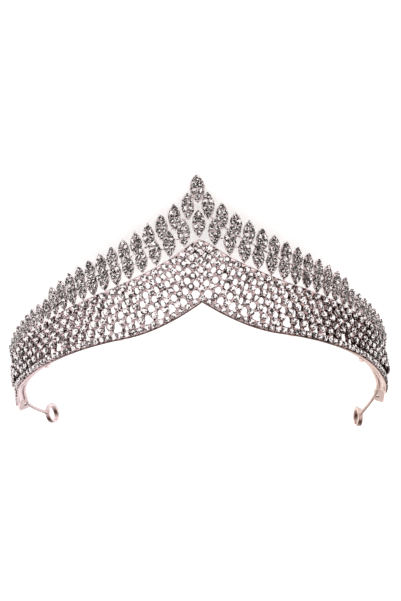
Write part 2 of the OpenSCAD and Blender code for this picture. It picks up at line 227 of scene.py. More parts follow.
def pipe(path: Array, x: Array, y: Array, radius: Amount, sides: int) -> Array:
    """Circles carried along a path: path + radius (x cos a + y sin a).

    Args:
        path: points shaped (..., 3).
        x: one direction across the path at each point.
        y: the other direction across it.
        radius: the circles' radius, for all points or for each.
        sides: number of points in a circle.

    Returns:
        Rings shaped (..., sides, 3).
    """
    a = (np.arange(sides) * 2 * np.pi / sides)[:, None]
    circle = np.cos(a) * x[..., None, :] + np.sin(a) * y[..., None, :]
    return path[..., None, :] + np.broadcast_to(radius, path.shape[:-1])[..., None, None] * circle


def revolve(profile: Array, sides: int) -> Mesh:
    """Turns a profile of radius and height about z; both its ends lie on the axis.

    Args:
        profile: radius and height from the bottom centre round the outside to the top centre.
        sides: number of points round the axis.

    Returns:
        Points shaped (n, 3), and the triangles and quads.
    """
    a = np.arange(sides) * 2 * np.pi / sides
    radius = profile[1:-1, :1]
    height = np.broadcast_to(profile[1:-1, 1:], (len(profile) - 2, sides))
    rings = np.stack([radius * np.cos(a), radius * np.sin(a), height], -1).reshape(-1, 3)
    points = np.vstack([rings, [[0, 0, profile[0, 1]], [0, 0, profile[-1, 1]]]])
    j = np.arange(sides)
    k = (j + 1) % sides
    last = len(rings) - sides
    low = np.stack([k, j, np.full(sides, len(rings))], -1)
    high = np.stack([last + j, last + k, np.full(sides, len(rings) + 1)], -1)
    return points, [np.vstack([low, high]), loft_faces(len(profile) - 2, sides)]


@dataclass(frozen=True)
class Places:
    """Frames on the metal: where copies of a small shape stand, and how they are turned."""

    at: Array
    x: Array
    y: Array
    z: Array

    @property
    def axes(self) -> Array:
        """The three directions of each frame, shaped (n, 3, 3)."""
        return np.stack([self.x, self.y, self.z], 1)

    def turned(self, angle: Array) -> "Places":
        """The same places turned about their own z by so many radians each."""
        c, s = np.cos(angle)[:, None], np.sin(angle)[:, None]
        return replace(self, x=c * self.x + s * self.y, y=c * self.y - s * self.x)

    def moved(self, across: Amount, up: Amount, out: Amount) -> "Places":
        """The same places shifted along their own x, y and z."""
        step = np.stack([np.broadcast_to(v, (len(self.at),)) for v in (across, up, out)], -1)
        return replace(self, at=self.at + (step[:, None] @ self.axes)[:, 0])

    def repeat(self, n: int) -> "Places":
        """Each place n times, one after another."""
        return Places(*(np.repeat(v, n, axis=0) for v in (self.at, self.x, self.y, self.z)))

    def stamp(self, points: Array, faces: list[Array], size: Amount = 1.0) -> Mesh:
        """Copies of a small shape at every place: place + px x + py y + pz z.

        Args:
            points: the small shape's points, shaped (m, 3).
            faces: its faces.
            size: scale of each copy.

        Returns:
            All the points, and all the faces grouped as they were.
        """
        scaled = points[None] * np.broadcast_to(size, (len(self.at),))[:, None, None]
        placed = self.at[:, None] + scaled @ self.axes
        return placed.reshape(-1, 3), copies(faces, len(self.at), len(points))


# The curves that everything follows


def ease(x: Array) -> Array:
    """A soft step from 0 to 1: 3 x squared less 2 x cubed."""
    t = np.clip(x, 0, 1)
    return t * t * (3 - 2 * t)


def read_table(s: Array, table: tuple[tuple[float, float], ...]) -> Array:
    """Values at the distances s, on straight lines between the table's pairs."""
    return np.interp(s, *np.array(table).T)


@dataclass(frozen=True)
class Wall:
    """The leaning wall over an oval, on which the band and the leaves stand."""

    half_width: float = 78.0
    half_depth: float = 74.2
    lean: float = 10.0
    shift: tuple[float, float] = (1.6, 0.8)
    shift_from: float = 94.0
    shift_over: float = 18.0

    def oval(self, a: Array) -> Array:
        """Points of the oval at the angles a: half width sin a, half depth (1 - cos a)."""
        return np.stack([self.half_width * np.sin(a), self.half_depth * (1 - np.cos(a))], -1)

    def turn(self, s: Array) -> Array:
        """Angle on the oval at distance s: the lengths of its two-degree chords, summed.

        Args:
            s: distances along the wall from its centre.

        Returns:
            Angles in radians, with the sign of s.
        """
        a = np.radians(np.arange(0, 132, 2))
        arc = np.concatenate([[0], np.cumsum(np.hypot(*np.diff(self.oval(a), axis=0).T))])
        return np.sign(s) * np.interp(np.abs(s), arc, a)

    def base(self, s: Array) -> Array:
        """Points of the oval, with both bent ends shifted a little to the right.

        Args:
            s: distances along the wall from its centre.

        Returns:
            Points with three coordinates, at the height 0.
        """
        flat = self.oval(self.turn(s))
        moved = np.where(s < 0, *self.shift) * ease((np.abs(s) - self.shift_from) / self.shift_over)
        return np.stack([flat[..., 0] + moved, flat[..., 1], 0 * moved], -1)

    def axes(self, s: Array) -> tuple[Array, Array, Array]:
        """Directions along, up and out of the wall: the oval's chord, the lean, their cross product.

        Args:
            s: distances along the wall from its centre.

        Returns:
            Three arrays of directions, each shaped like s with three coordinates.
        """
        t = unit(self.base(s + 1) - self.base(s - 1))
        lean = math.radians(self.lean)
        level = np.full(t.shape[:-1], math.cos(lean))
        u = np.stack([t[..., 1] * math.sin(lean), -t[..., 0] * math.sin(lean), level], -1)
        return t, u, np.cross(t, u)

    def at(self, s: Array, h: Amount, o: Amount) -> Array:
        """Points of the wall: the oval's point at s, plus h up the wall and o out of it.

        Args:
            s: distances along the wall from its centre.
            h: heights up the wall.
            o: distances out of its face.

        Returns:
            The points.
        """
        s, h, o = np.broadcast_arrays(np.asarray(s, float), h, o)
        _, u, n = self.axes(s)
        return self.base(s) + h[..., None] * u + o[..., None] * n

    def places(self, s: Array, h: Amount, o: Amount) -> Places:
        """Frames that stand on the wall at the points (s, h, o)."""
        s = np.asarray(s, float)
        return Places(self.at(s, h, o), *self.axes(s))


# Distance from the centre, and height of the rail's top edge there
RAIL_TABLE = (
    (0, 36.6), (5, 33.3), (10, 29.5), (16, 26.4), (24, 23.3), (34, 20.7), (46, 19.1), (62, 17.4),
    (78, 16.2), (90, 14.3), (100, 11), (108, 7.4), (114, 2.8), (117, 1.4), (120, 1.4),
)
# Distance from the centre, and distance between the rows of stones there
ROW_TABLE = (
    (0, 2.75), (14, 3.05), (28, 3), (36, 3.2), (50, 2.95), (60, 2.8), (70, 3.3), (80, 3.2),
    (88, 2.75), (96, 3.1), (120, 3),
)
MOST_COLUMNS = 41
MOST_ROWS = 8


@dataclass(frozen=True)
class Net:
    """The lattice of the openwork band: its rail, its hem and the places of its stones."""

    wall: Wall = Wall()
    pitch: float = 4.15
    first_row: float = 2.1
    merge: int = 4
    rail_w: float = 1.1
    hem_w: float = 2.5
    hem_clear: float = 4.0
    notch_h: float = 11.0
    notch_w: float = 31.0
    point_w: float = 2.5
    tail_mid: float = 111.0
    end: float = 118.4
    run_on: float = 9.0
    thick: float = 0.9

    def rail(self, s: Array) -> Array:
        """Height of the rail's top edge: the table's heights, averaged over five millimetres."""
        return np.mean([read_table(np.abs(s) + d, RAIL_TABLE) for d in range(-2, 3)], axis=0)

    def hem(self, s: Array) -> Array:
        """Height of the hem's bottom edge: the notch's height times (1 - |s| / its half width) squared."""
        return self.notch_h * np.maximum(0, 1 - np.abs(s) / self.notch_w) ** 2

    def fall(self, s: Array) -> Array:
        """Slope of the rail in radians: the arc tangent of its drop over two millimetres."""
        q = np.maximum(np.abs(s), self.point_w)
        return np.arctan((self.rail(q - 1) - self.rail(q + 1)) / 2)

    def along_rail(self, u: Array) -> Array:
        """Distance s at the run u along the sloping rail."""
        s = np.arange(0, self.end + self.run_on)
        return np.interp(u, np.concatenate([[0], np.cumsum(np.hypot(1, np.diff(self.rail(s))))]), s)

    def raw_spot(self, k: Array, j: Array) -> tuple[Array, Array, Array]:
        """Column k and row j before the arms merge: rows lie side by side below the rail.

        Args:
            k: columns.
            j: rows.

        Returns:
            Distances along the wall, heights, and the rail's slope there.
        """
        s = self.along_rail((k + j / 2) * self.pitch)
        a = self.fall(s)
        d = self.first_row + j * read_table(s, ROW_TABLE)
        return s - d * np.sin(a), self.rail(s) - d * np.cos(a), a

    def spot(self, k: Array, j: Array) -> Array:
        """Places (s, h) of the stones in columns k and rows j of one arm.

        Args:
            k: columns.
            j: rows.

        Returns:
            The places, with s counted outwards from the centre.
        """
        s, h, a = self.raw_spot(k, j)
        slide = -self.raw_spot(0 * k, j)[0] * np.maximum(0, 1 - k / self.merge)
        return np.stack([s + slide, h - slide * np.tan(a)], -1)

    def columns(self) -> list[Array]:
        """The stones of one arm, column by column.

        Returns:
            For each column the places of its stones, shaped (n, 2): as many as clear the hem,
            but no more than in the column before, and one fewer at most.
        """
        spots = self.spot(*np.meshgrid(np.arange(MOST_COLUMNS), np.arange(MOST_ROWS), indexing="ij"))
        s, h = spots[..., 0], spots[..., 1]
        fits = h - self.hem(s) > self.hem_clear / np.cos(self.fall(s))
        rows = fits.sum(1)
        sizes = [int(rows[0])]
        for n in rows[1 : int(fits[:, 0].sum())]:
            sizes.append(max(sizes[-1] - 1, min(sizes[-1], int(n))))
        return [column[:n] for column, n in zip(spots, sizes)]

    def stones(self, side: Side) -> Places:
        """Frames of all the net's stones on one arm, turned with the rail's slope.

        Args:
            side: the arm.

        Returns:
            One frame for each stone; the stones of the middle column are the right arm's.
        """
        first = 0 if side is Side.RIGHT else 1
        s, h = np.concatenate(self.columns()[first:]).T
        places = self.wall.places(side.value * s, h, 0.0)
        return places.turned(-side.value * np.where(s < 1, 0, self.fall(s)))


# Finishes


@dataclass(frozen=True)
class Nodes:
    """Makes and joins the nodes of one material, group or world."""

    tree: bpy.types.NodeTree

    def feed(self, node: bpy.types.Node, feeds: dict) -> None:
        """Sets or links a node's inputs.

        Args:
            node: the node.
            feeds: by input, a number, a colour, or the output that is linked to it.
        """
        for key, value in feeds.items():
            if isinstance(value, bpy.types.NodeSocket):
                self.tree.links.new(value, node.inputs[key])
            else:
                node.inputs[key].default_value = (*value, 1) if isinstance(value, tuple) else value

    def add(self, kind: str, feeds: dict | None = None, **settings: object) -> bpy.types.bpy_prop_collection:
        """Adds a node.

        Args:
            kind: the node's type, after the word ShaderNode.
            feeds: what goes into its inputs.
            settings: its other properties.

        Returns:
            Its outputs.
        """
        node = self.tree.nodes.new(f"ShaderNode{kind}")
        for name, value in settings.items():
            setattr(node, name, value)
        self.feed(node, feeds or {})
        return node.outputs

    def math(self, operation: str, *values: object, clamp: bool = False) -> bpy.types.NodeSocket:
        """Adds a calculation, and gives its result."""
        return self.add("Math", dict(enumerate(values)), operation=operation, use_clamp=clamp)[0]

    def mix(self, factor: object, low: object, high: object) -> bpy.types.NodeSocket:
        """Adds a blend of two colours, and gives its result."""
        return self.add("Mix", {"Factor": factor, "A": low, "B": high}, data_type="RGBA")["Result"]

    def noise(self, **feeds: object) -> bpy.types.NodeSocket:
        """Adds soft noise, and gives its value."""
        return self.add("TexNoise", feeds)["Fac"]

    def place(self) -> bpy.types.NodeSocket:
        """Adds the place on the object."""
        return self.add("TexCoord")["Object"]

    def tone(self) -> bpy.types.NodeSocket:
        """Adds the tone that each face carries: its painted shade or painted reflection."""
        return self.add("Attribute", attribute_name="tone")["Fac"]

    def part(self, vector: bpy.types.NodeSocket, axis: str) -> bpy.types.NodeSocket:
        """Adds one coordinate of a vector."""
        return self.add("SeparateXYZ", {0: vector})[axis]

    def ramp(self, fed: bpy.types.NodeSocket, *stops: tuple[float, Colour]) -> bpy.types.NodeSocket:
        """Adds a colour ramp.

        Args:
            fed: the value that it reads.
            stops: places and colours, from the lowest place to the highest.

        Returns:
            Its colour.
        """
        node = self.tree.nodes.new("ShaderNodeValToRGB")
        marks = node.color_ramp.elements
        marks[0].position, marks[1].position = stops[0][0], stops[-1][0]
        for at, _ in stops[1:-1]:
            marks.new(at)
        for mark, (_, colour) in zip(marks, stops):
            mark.color = (*colour, 1)
        self.feed(node, {"Fac": fed})
        return node.outputs["Color"]

    def surface(self, **feeds: object) -> None:
        """Feeds the material's shader; an underscore in a name stands for a space."""
        self.feed(self.tree.nodes["Principled BSDF"], {k.replace("_", " "): v for k, v in feeds.items()})


def node_group(name: str, inputs: dict[str, float], outputs: dict[str, str]) -> tuple[Nodes, bpy.types.Node]:
    """Starts a node group.

    Args:
        name: its name.
        inputs: its inputs and their usual values.
        outputs: its outputs and the kinds of their sockets.

    Returns:
        Its nodes, and the node that holds what it is given.
    """
    tree = bpy.data.node_groups.new(name, "ShaderNodeTree")
    for label, value in inputs.items():
        tree.interface.new_socket(label, in_out="INPUT", socket_type="NodeSocketFloat").default_value = value
    for label, kind in outputs.items():
        tree.interface.new_socket(label, in_out="OUTPUT", socket_type=kind)
    return Nodes(tree), tree.nodes.new("NodeGroupInput")


def blank_material(name: str) -> tuple[bpy.types.Material, Nodes]:
    """A new material and its nodes.

    Args:
        name: the material's name.

    Returns:
        The material, and its nodes.
    """
    made = bpy.data.materials.new(name)
    made.use_nodes = True
    return made, Nodes(made.node_tree)


FINER_GRAIN = 5.0  # how much finer the grain is than the clouds
GRAIN_SHARE = 0.4  # height of the grain beside the clouds
CLOUDY_SHINE = 0.22  # how much rougher the clouds are
DENT_DEPTH = 0.0002  # metres
BRIGHTEST_X = 0.016  # metres, where the share of dark patches is least
PATCH_EDGE = 14.0  # how sharply a patch ends
# painted light: the metals' lit colour changes tint from one arm to the other
ARM_LIGHT_TINT = -14.0  # how fast the colour changes from arm to arm, per metre
MOTTLE = (0.35, -0.17)  # factor and offset that the clouds add to a face's tone
STONE_FLAWS = (1400.0, 0.12)  # flaws per metre, and what they add to a facet's tone


def cast_grain() -> bpy.types.NodeTree:
    """The fine grain, cloudy shine and soft dents of cast and hand-bent metal, as one group.

    Returns:
        The group, with the outputs Mottle, Roughness and Normal.
    """
    inputs = {"Size": 900.0, "Strength": 0.1, "Rough": 0.2}
    outputs = {"Mottle": "NodeSocketFloat", "Roughness": "NodeSocketFloat", "Normal": "NodeSocketVector"}
    nodes, given = node_group("cast_grain", inputs, outputs)
    size, strength, rough = list(given.outputs)[:3]
    place = nodes.place()
    cloud = nodes.noise(Vector=place, Scale=size, Detail=3.0)
    grain = nodes.noise(Vector=place, Scale=nodes.math("MULTIPLY", size, FINER_GRAIN), Detail=2.0)
    height = nodes.math("MULTIPLY_ADD", grain, GRAIN_SHARE, cloud)
    dents = nodes.add("Bump", {"Distance": DENT_DEPTH, "Strength": strength, "Height": height})["Normal"]
    shine = nodes.math("MULTIPLY_ADD", cloud, CLOUDY_SHINE, rough)
    result = nodes.tree.nodes.new("NodeGroupOutput")
    nodes.feed(result, {"Mottle": cloud, "Roughness": shine, "Normal": dents})
    return nodes.tree


def painted_reflections() -> bpy.types.NodeTree:
    """Painted reflections: the small light and dark patches that polished metal and cut glass mirror, as one
    group.

    Each cell of a pattern draws a number and is dark where it is below the share, which grows
    with the square of the distance from the middle of the tiara.

    Returns:
        The group, with the output Light: 1 in the light patches, 0 in the dark ones.
    """
    inputs = {"Size": 1700.0, "Share": 0.25, "Growth": 20.0}
    nodes, given = node_group("painted_reflections", inputs, {"Light": "NodeSocketFloat"})
    size, least, growth = list(given.outputs)[:3]
    place = nodes.place()
    cells = nodes.add("TexVoronoi", {"Vector": place, "Scale": size})["Color"]
    drawn = nodes.add("SeparateColor", {"Color": cells})["Red"]
    centred = nodes.math("SUBTRACT", nodes.part(place, "X"), BRIGHTEST_X)
    share = nodes.math("MULTIPLY_ADD", nodes.math("MULTIPLY", centred, centred), growth, least)
    light = nodes.math("MULTIPLY_ADD", nodes.math("SUBTRACT", drawn, share), PATCH_EDGE, 0.5, clamp=True)
    nodes.feed(nodes.tree.nodes.new("NodeGroupOutput"), {"Light": light})
    return nodes.tree


@dataclass(frozen=True)
class Patches:
    """How painted reflections break up a finish: patches per metre, share of dark ones, its growth and depth.
    """

    size: float
    share: float
    growth: float
    depth: float

    def add(self, nodes: Nodes, group: bpy.types.NodeTree, fed: bpy.types.NodeSocket) -> bpy.types.NodeSocket:
        """Multiplies a value by the painted reflections.

        Args:
            nodes: the material's nodes.
            group: the painted reflections.
            fed: the value that the patches darken.

        Returns:
            The value, times 1 less depth in the dark patches of painted reflection.
        """
        feeds = {"Size": self.size, "Share": self.share, "Growth": self.growth}
        light = nodes.add("Group", feeds, node_tree=group)["Light"]
        kept = nodes.math("MULTIPLY_ADD", light, self.depth, 1 - self.depth)
        return nodes.math("MULTIPLY", kept, fed)


@dataclass(frozen=True)
class MetalFinish:
    """A plated metal: its lit colour on either arm, tinted as painted light, its painted shade colour for
    recesses, and its grain.
    """

    name: str
    # bright and other: the lit colour on either arm, a painted light tint; deep: the colour of painted shade
    # and dark painted reflections
    bright: Colour
    other: Colour
    deep: Colour
    size: float
    patches: Patches
    rough: float = 0.2
    bump: float = 0.25

    def material(self, grain: bpy.types.NodeTree, light: bpy.types.NodeTree) -> bpy.types.Material:
        """Builds the material: open faces bright, painted shade in recesses and dark painted reflections
        towards the deep colour.

        Args:
            grain: the group that gives the metal's mottle, roughness and dents.
            light: the group of painted reflections.

        Returns:
            The material.
        """
        made, nodes = blank_material(self.name)
        feeds = {"Size": self.size, "Strength": self.bump, "Rough": self.rough}
        wear = nodes.add("Group", feeds, node_tree=grain)
        # painted light: the lit colour blends from one arm's tint to the other's; painted shade (the face's
        # tone) and dark painted reflections pull it towards deep
        arm = nodes.math("MULTIPLY_ADD", nodes.part(nodes.place(), "X"), ARM_LIGHT_TINT, 0.5, clamp=True)
        cloudy = nodes.math("MULTIPLY_ADD", wear["Mottle"], *MOTTLE)
        bare = self.patches.add(nodes, light, nodes.math("ADD", cloudy, nodes.tone(), clamp=True))
        colour = nodes.mix(bare, self.deep, nodes.mix(arm, self.bright, self.other))
        nodes.surface(Metallic=1.0, Base_Color=colour, Roughness=wear["Roughness"], Normal=wear["Normal"])
        return made


@dataclass(frozen=True)
class StoneFinish:
    """A foiled crystal with painted reflections: facets go from deep brown-black to white, with a hard clear
    face.
    """

    name: str = "crystal"
    bend: float = 1.6
    rough: float = 0.04
    stops: tuple[tuple[float, Colour], ...] = (
        (0.16, (0.010, 0.005, 0.004)),
        (0.3, (0.24, 0.12, 0.10)),
        (0.45, (0.78, 0.59, 0.61)),
        (0.62, (0.99, 0.945, 0.955)),
    )
    clear: float = 0.1
    coat: float = 0.3
    coat_rough: float = 0.02
    patches: Patches = Patches(1700, 0.11, 36, 0.92)

    def material(self, light: bpy.types.NodeTree) -> bpy.types.Material:
        """Builds the material from the painted reflection that each facet carries and the group of painted
        reflections.

        Args:
            light: the group of painted reflections.

        Returns:
            The material.
        """
        made, nodes = blank_material(self.name)
        scale, depth = STONE_FLAWS
        flaws = nodes.noise(Vector=nodes.place(), Scale=scale)
        drift = nodes.math("MULTIPLY_ADD", flaws, depth, nodes.tone())
        colour = nodes.ramp(self.patches.add(nodes, light, drift), *self.stops)
        nodes.surface(Base_Color=colour, IOR=self.bend, Roughness=self.rough, Transmission_Weight=self.clear)
        nodes.surface(Coat_Weight=self.coat, Coat_Roughness=self.coat_rough)
        return made


# each metal: its lit colour on either arm as a painted light tint, the colour of its painted shade, and its
# patches of painted reflection
METALS = (
    MetalFinish(
        "silver",
        bright=(0.94, 0.78, 0.80),
        other=(0.90, 0.71, 0.70),
        deep=(0.030, 0.011, 0.008),
        size=1100,
        patches=Patches(1250, 0.22, 64, 0.97),
    ),
    MetalFinish(
        "leaf_silver",
        bright=(0.96, 0.86, 0.86),
        other=(0.93, 0.80, 0.79),
        deep=(0.03, 0.015, 0.015),
        size=1300,
        patches=Patches(2000, 0.3, 24, 0.97),
    ),
    MetalFinish(
        "warm_silver",
        bright=(0.81, 0.655, 0.66),
        other=(0.80, 0.625, 0.565),
        deep=(0.07, 0.03, 0.02),
        size=320,
        patches=Patches(500, 0.04, 5, 0.15),
        rough=0.26,
        bump=0.15,
    ),
)


def make_finishes() -> Finishes:
    """Builds the four finishes on one shared grain and one group of painted reflections.

    Returns:
        The materials, by the record's material slots.
    """
    grain, light, stone = cast_grain(), painted_reflections(), StoneFinish()
    metals = {metal.name: metal.material(grain, light) for metal in METALS}
    return metals | {stone.name: stone.material(light)}


# Cut stones


@dataclass(frozen=True)
class Look:
    """Painted reflections: how often a stone, its table or its crown facets look dark, and how bright the
    rest is.
    """

    dark_table: float
    dark_crown: float
    dim_stone: float
    dimmer: float = 0.25
    pavilion: float = 0.1
    table_light: tuple[float, float] = (0.5, 1.0)
    crown_light: tuple[float, float] = (0.4, 1.0)
    kite_light: tuple[float, float] = (0.45, 1.0)


NET_LOOK = Look(0.02, 0.45, 0.2)
LEAF_LOOK = Look(0.6, 0.5, 0.1)
HEM_LOOK = NET_LOOK
HEM_SEED, LOWER_SEED, UPPER_SEED, MIDDLE_SEED, TOP_SEED = 5, 20, 30, 40, 41
UPPER_FACETS = 24  # stars and girdle facets
PAVILION_FACETS = 16
KITES = 8


@dataclass(frozen=True)
class RoundCut:
    """A round cut stone: an eight-sided table, eight stars, eight kites, girdle and pavilion."""

    width: float
    height: float
    table: float = 0.55
    crown: float = 0.36
    star_out: float = 0.82
    star_up: float = 0.60

    def points(self) -> Array:
        """Rings of table, crown, girdle and point: radius times (cos a, sin a), at each ring's height.

        Returns:
            Points shaped (33, 3), with the stone's point last and at the origin.
        """
        r = self.width / 2
        girdle = self.height * (1 - self.crown)
        eighth = np.radians(np.arange(8) * 45 + 22.5)
        sixteenth = np.radians(np.arange(16) * 22.5 + 22.5)
        rows = (
            (eighth, self.table * r, self.height),
            (eighth + np.radians(22.5), self.star_out * r, girdle + self.star_up * (self.height - girdle)),
            (sixteenth, r, girdle),
        )
        rings = [np.stack([d * np.cos(a), d * np.sin(a), np.full(a.shape, z)], -1) for a, d, z in rows]
        return np.vstack([*rings, [[0, 0, 0]]])

    def faces(self) -> list[Array]:
        """Table, then stars, girdle facets and pavilion, then kites.

        Returns:
            Point numbers of the table, of the triangles and of the kites.
        """
        i, j = np.arange(8), np.arange(16)
        n = (i + 1) % 8
        between, girdle, culet = i + 8, 16 + 2 * i, np.full(16, 32)
        stars = np.stack([between, n, i], -1)
        left = np.stack([between, girdle, girdle + 1], -1)
        right = np.stack([between, girdle + 1, 16 + 2 * n], -1)
        pavilion = np.stack([16 + (j + 1) % 16, 16 + j, culet], -1)
        kites = np.stack([i, between[i - 1], girdle, between], -1)
        return [i[None, :], np.vstack([stars, left, right, pavilion]), kites]

    def tones(self, n: int, rng: np.random.Generator, look: Look) -> list[Array]:
        """Painted reflections: brightness of every facet of n stones, drawn from the look's shares of dark
        facets.

        Args:
            n: number of stones.
            rng: the seeded source of chance.
            look: how often tables and crown facets are dark.

        Returns:
            One array for each group of faces.
        """
        table = np.where(rng.random((n, 1)) < look.dark_table, 0.0, rng.uniform(*look.table_light, (n, 1)))
        share = look.dark_crown + look.dimmer * (rng.random((n, 1)) < look.dim_stone)
        small = (n, UPPER_FACETS + PAVILION_FACETS)
        crown = np.where(rng.random(small) < share, 0.0, rng.uniform(*look.crown_light, small))
        crown[:, UPPER_FACETS:] = look.pavilion
        large = (n, KITES)
        kites = np.where(rng.random(large) < share, 0.0, rng.uniform(*look.kite_light, large))
        return [table.ravel(), crown.ravel(), kites.ravel()]


def set_stones(places: Places, cut: RoundCut, look: Look, seed: int, size: Amount = 1.0) -> Shape:
    """Makes a cut stone at every place, each turned by chance.

    Args:
        places: where their points stand.
        cut: the cut.
        look: how dark their painted reflections are.
        seed: seed of the chance.
        size: scale of each stone.

    Returns:
        The stones as one shape.
    """
    rng = np.random.default_rng(SEED + seed)
    n = len(places.at)
    points, faces = places.turned(rng.uniform(0, 2 * np.pi, n)).stamp(cut.points(), cut.faces(), size)
    shape = Shape()
    shape.add(points, faces, cut.tones(n, rng, look))
    return shape


# The openwork band

# Radius and height along the outside and inside of a seat's cup, in shares of the seat's own
CUP_PROFILE = ((0.95, 0.4), (1.07, 0.88), (1.05, 1), (0.96, 1), (0.9, 0.8), (0, 0.15))


@dataclass(frozen=True)
class Collet:
    """The round seat of a stone: a flared cup with a fine lip, and claws that bend over."""

    radius: float
    height: float
    sides: int = 12
    claws: tuple[float, ...] = (55.0, 125.0, 235.0, 305.0)
    claw_r: float = 0.24
    claw_sides: int = 6
    claw_foot: float = -0.05
    foot_r: float = 0.9
    sunk: float = 0.1
    # painted shade: dark at the cup's foot and inside, half dark low on its side, bright at its lip; the
    # claws nearly full
    wall_shades: tuple[float, ...] = (0.05, 0.45, 1.0, 1.0, 0.1)
    inside_shade: float = 0.1
    claw_shade: float = 0.95

    def cup(self) -> Mesh:
        """The cup: its profile, in shares of radius and height, turned about the stone's axis."""
        foot = [(0, -self.sunk), (self.foot_r * self.radius, -self.sunk)]
        return revolve(np.vstack([foot, np.array(CUP_PROFILE) * [self.radius, self.height]]), self.sides)

    def claw(self) -> Mesh:
        """One claw: circles carried up the cup's side and over the girdle, in the xz plane.

        Returns:
            Points shaped (24, 3), and the faces.
        """
        r, h = self.radius, self.height
        rise = [(1.13 * r, 0.6 * h), (1.08 * r, 1.12 * h), (0.93 * r, 1.36 * h)]
        steps = [(1.1 * r, self.claw_foot), *rise]
        path = np.array([(out, 0, up) for out, up in steps])
        heading, taper = np.radians([0, 0, 25, 50]), np.array([1, 1, 0.95, 0.6])
        x = np.stack([np.cos(heading), 0 * heading, np.sin(heading)], -1)
        rings = pipe(path, x, np.array([[0, 1.0, 0]]), self.claw_r * taper, self.claw_sides)
        return rings.reshape(-1, 3), tube(rings)

    def add(self, shape: Shape, places: Places, size: Amount = 1.0) -> None:
        """Adds a cup and its claws at every place, each as large as its size says.

        Args:
            shape: the shape that receives them.
            places: where the stones stand.
            size: scale of each seat.
        """
        n, size = len(places.at), np.broadcast_to(size, (len(places.at),))
        points, faces = places.stamp(*self.cup(), size)
        tone = np.tile(np.repeat(self.wall_shades, self.sides), n)
        shape.add(points, faces, [np.full(len(faces[0]), self.inside_shade), tone])
        claws = places.repeat(len(self.claws)).turned(np.tile(np.radians(self.claws), n))
        shape.add(*claws.stamp(*self.claw(), np.repeat(size, len(self.claws))), self.claw_shade)


FAR = 99.0  # length of a ray that meets nothing
FLAT = 1e-6  # a ray that nears a side less than this runs along it


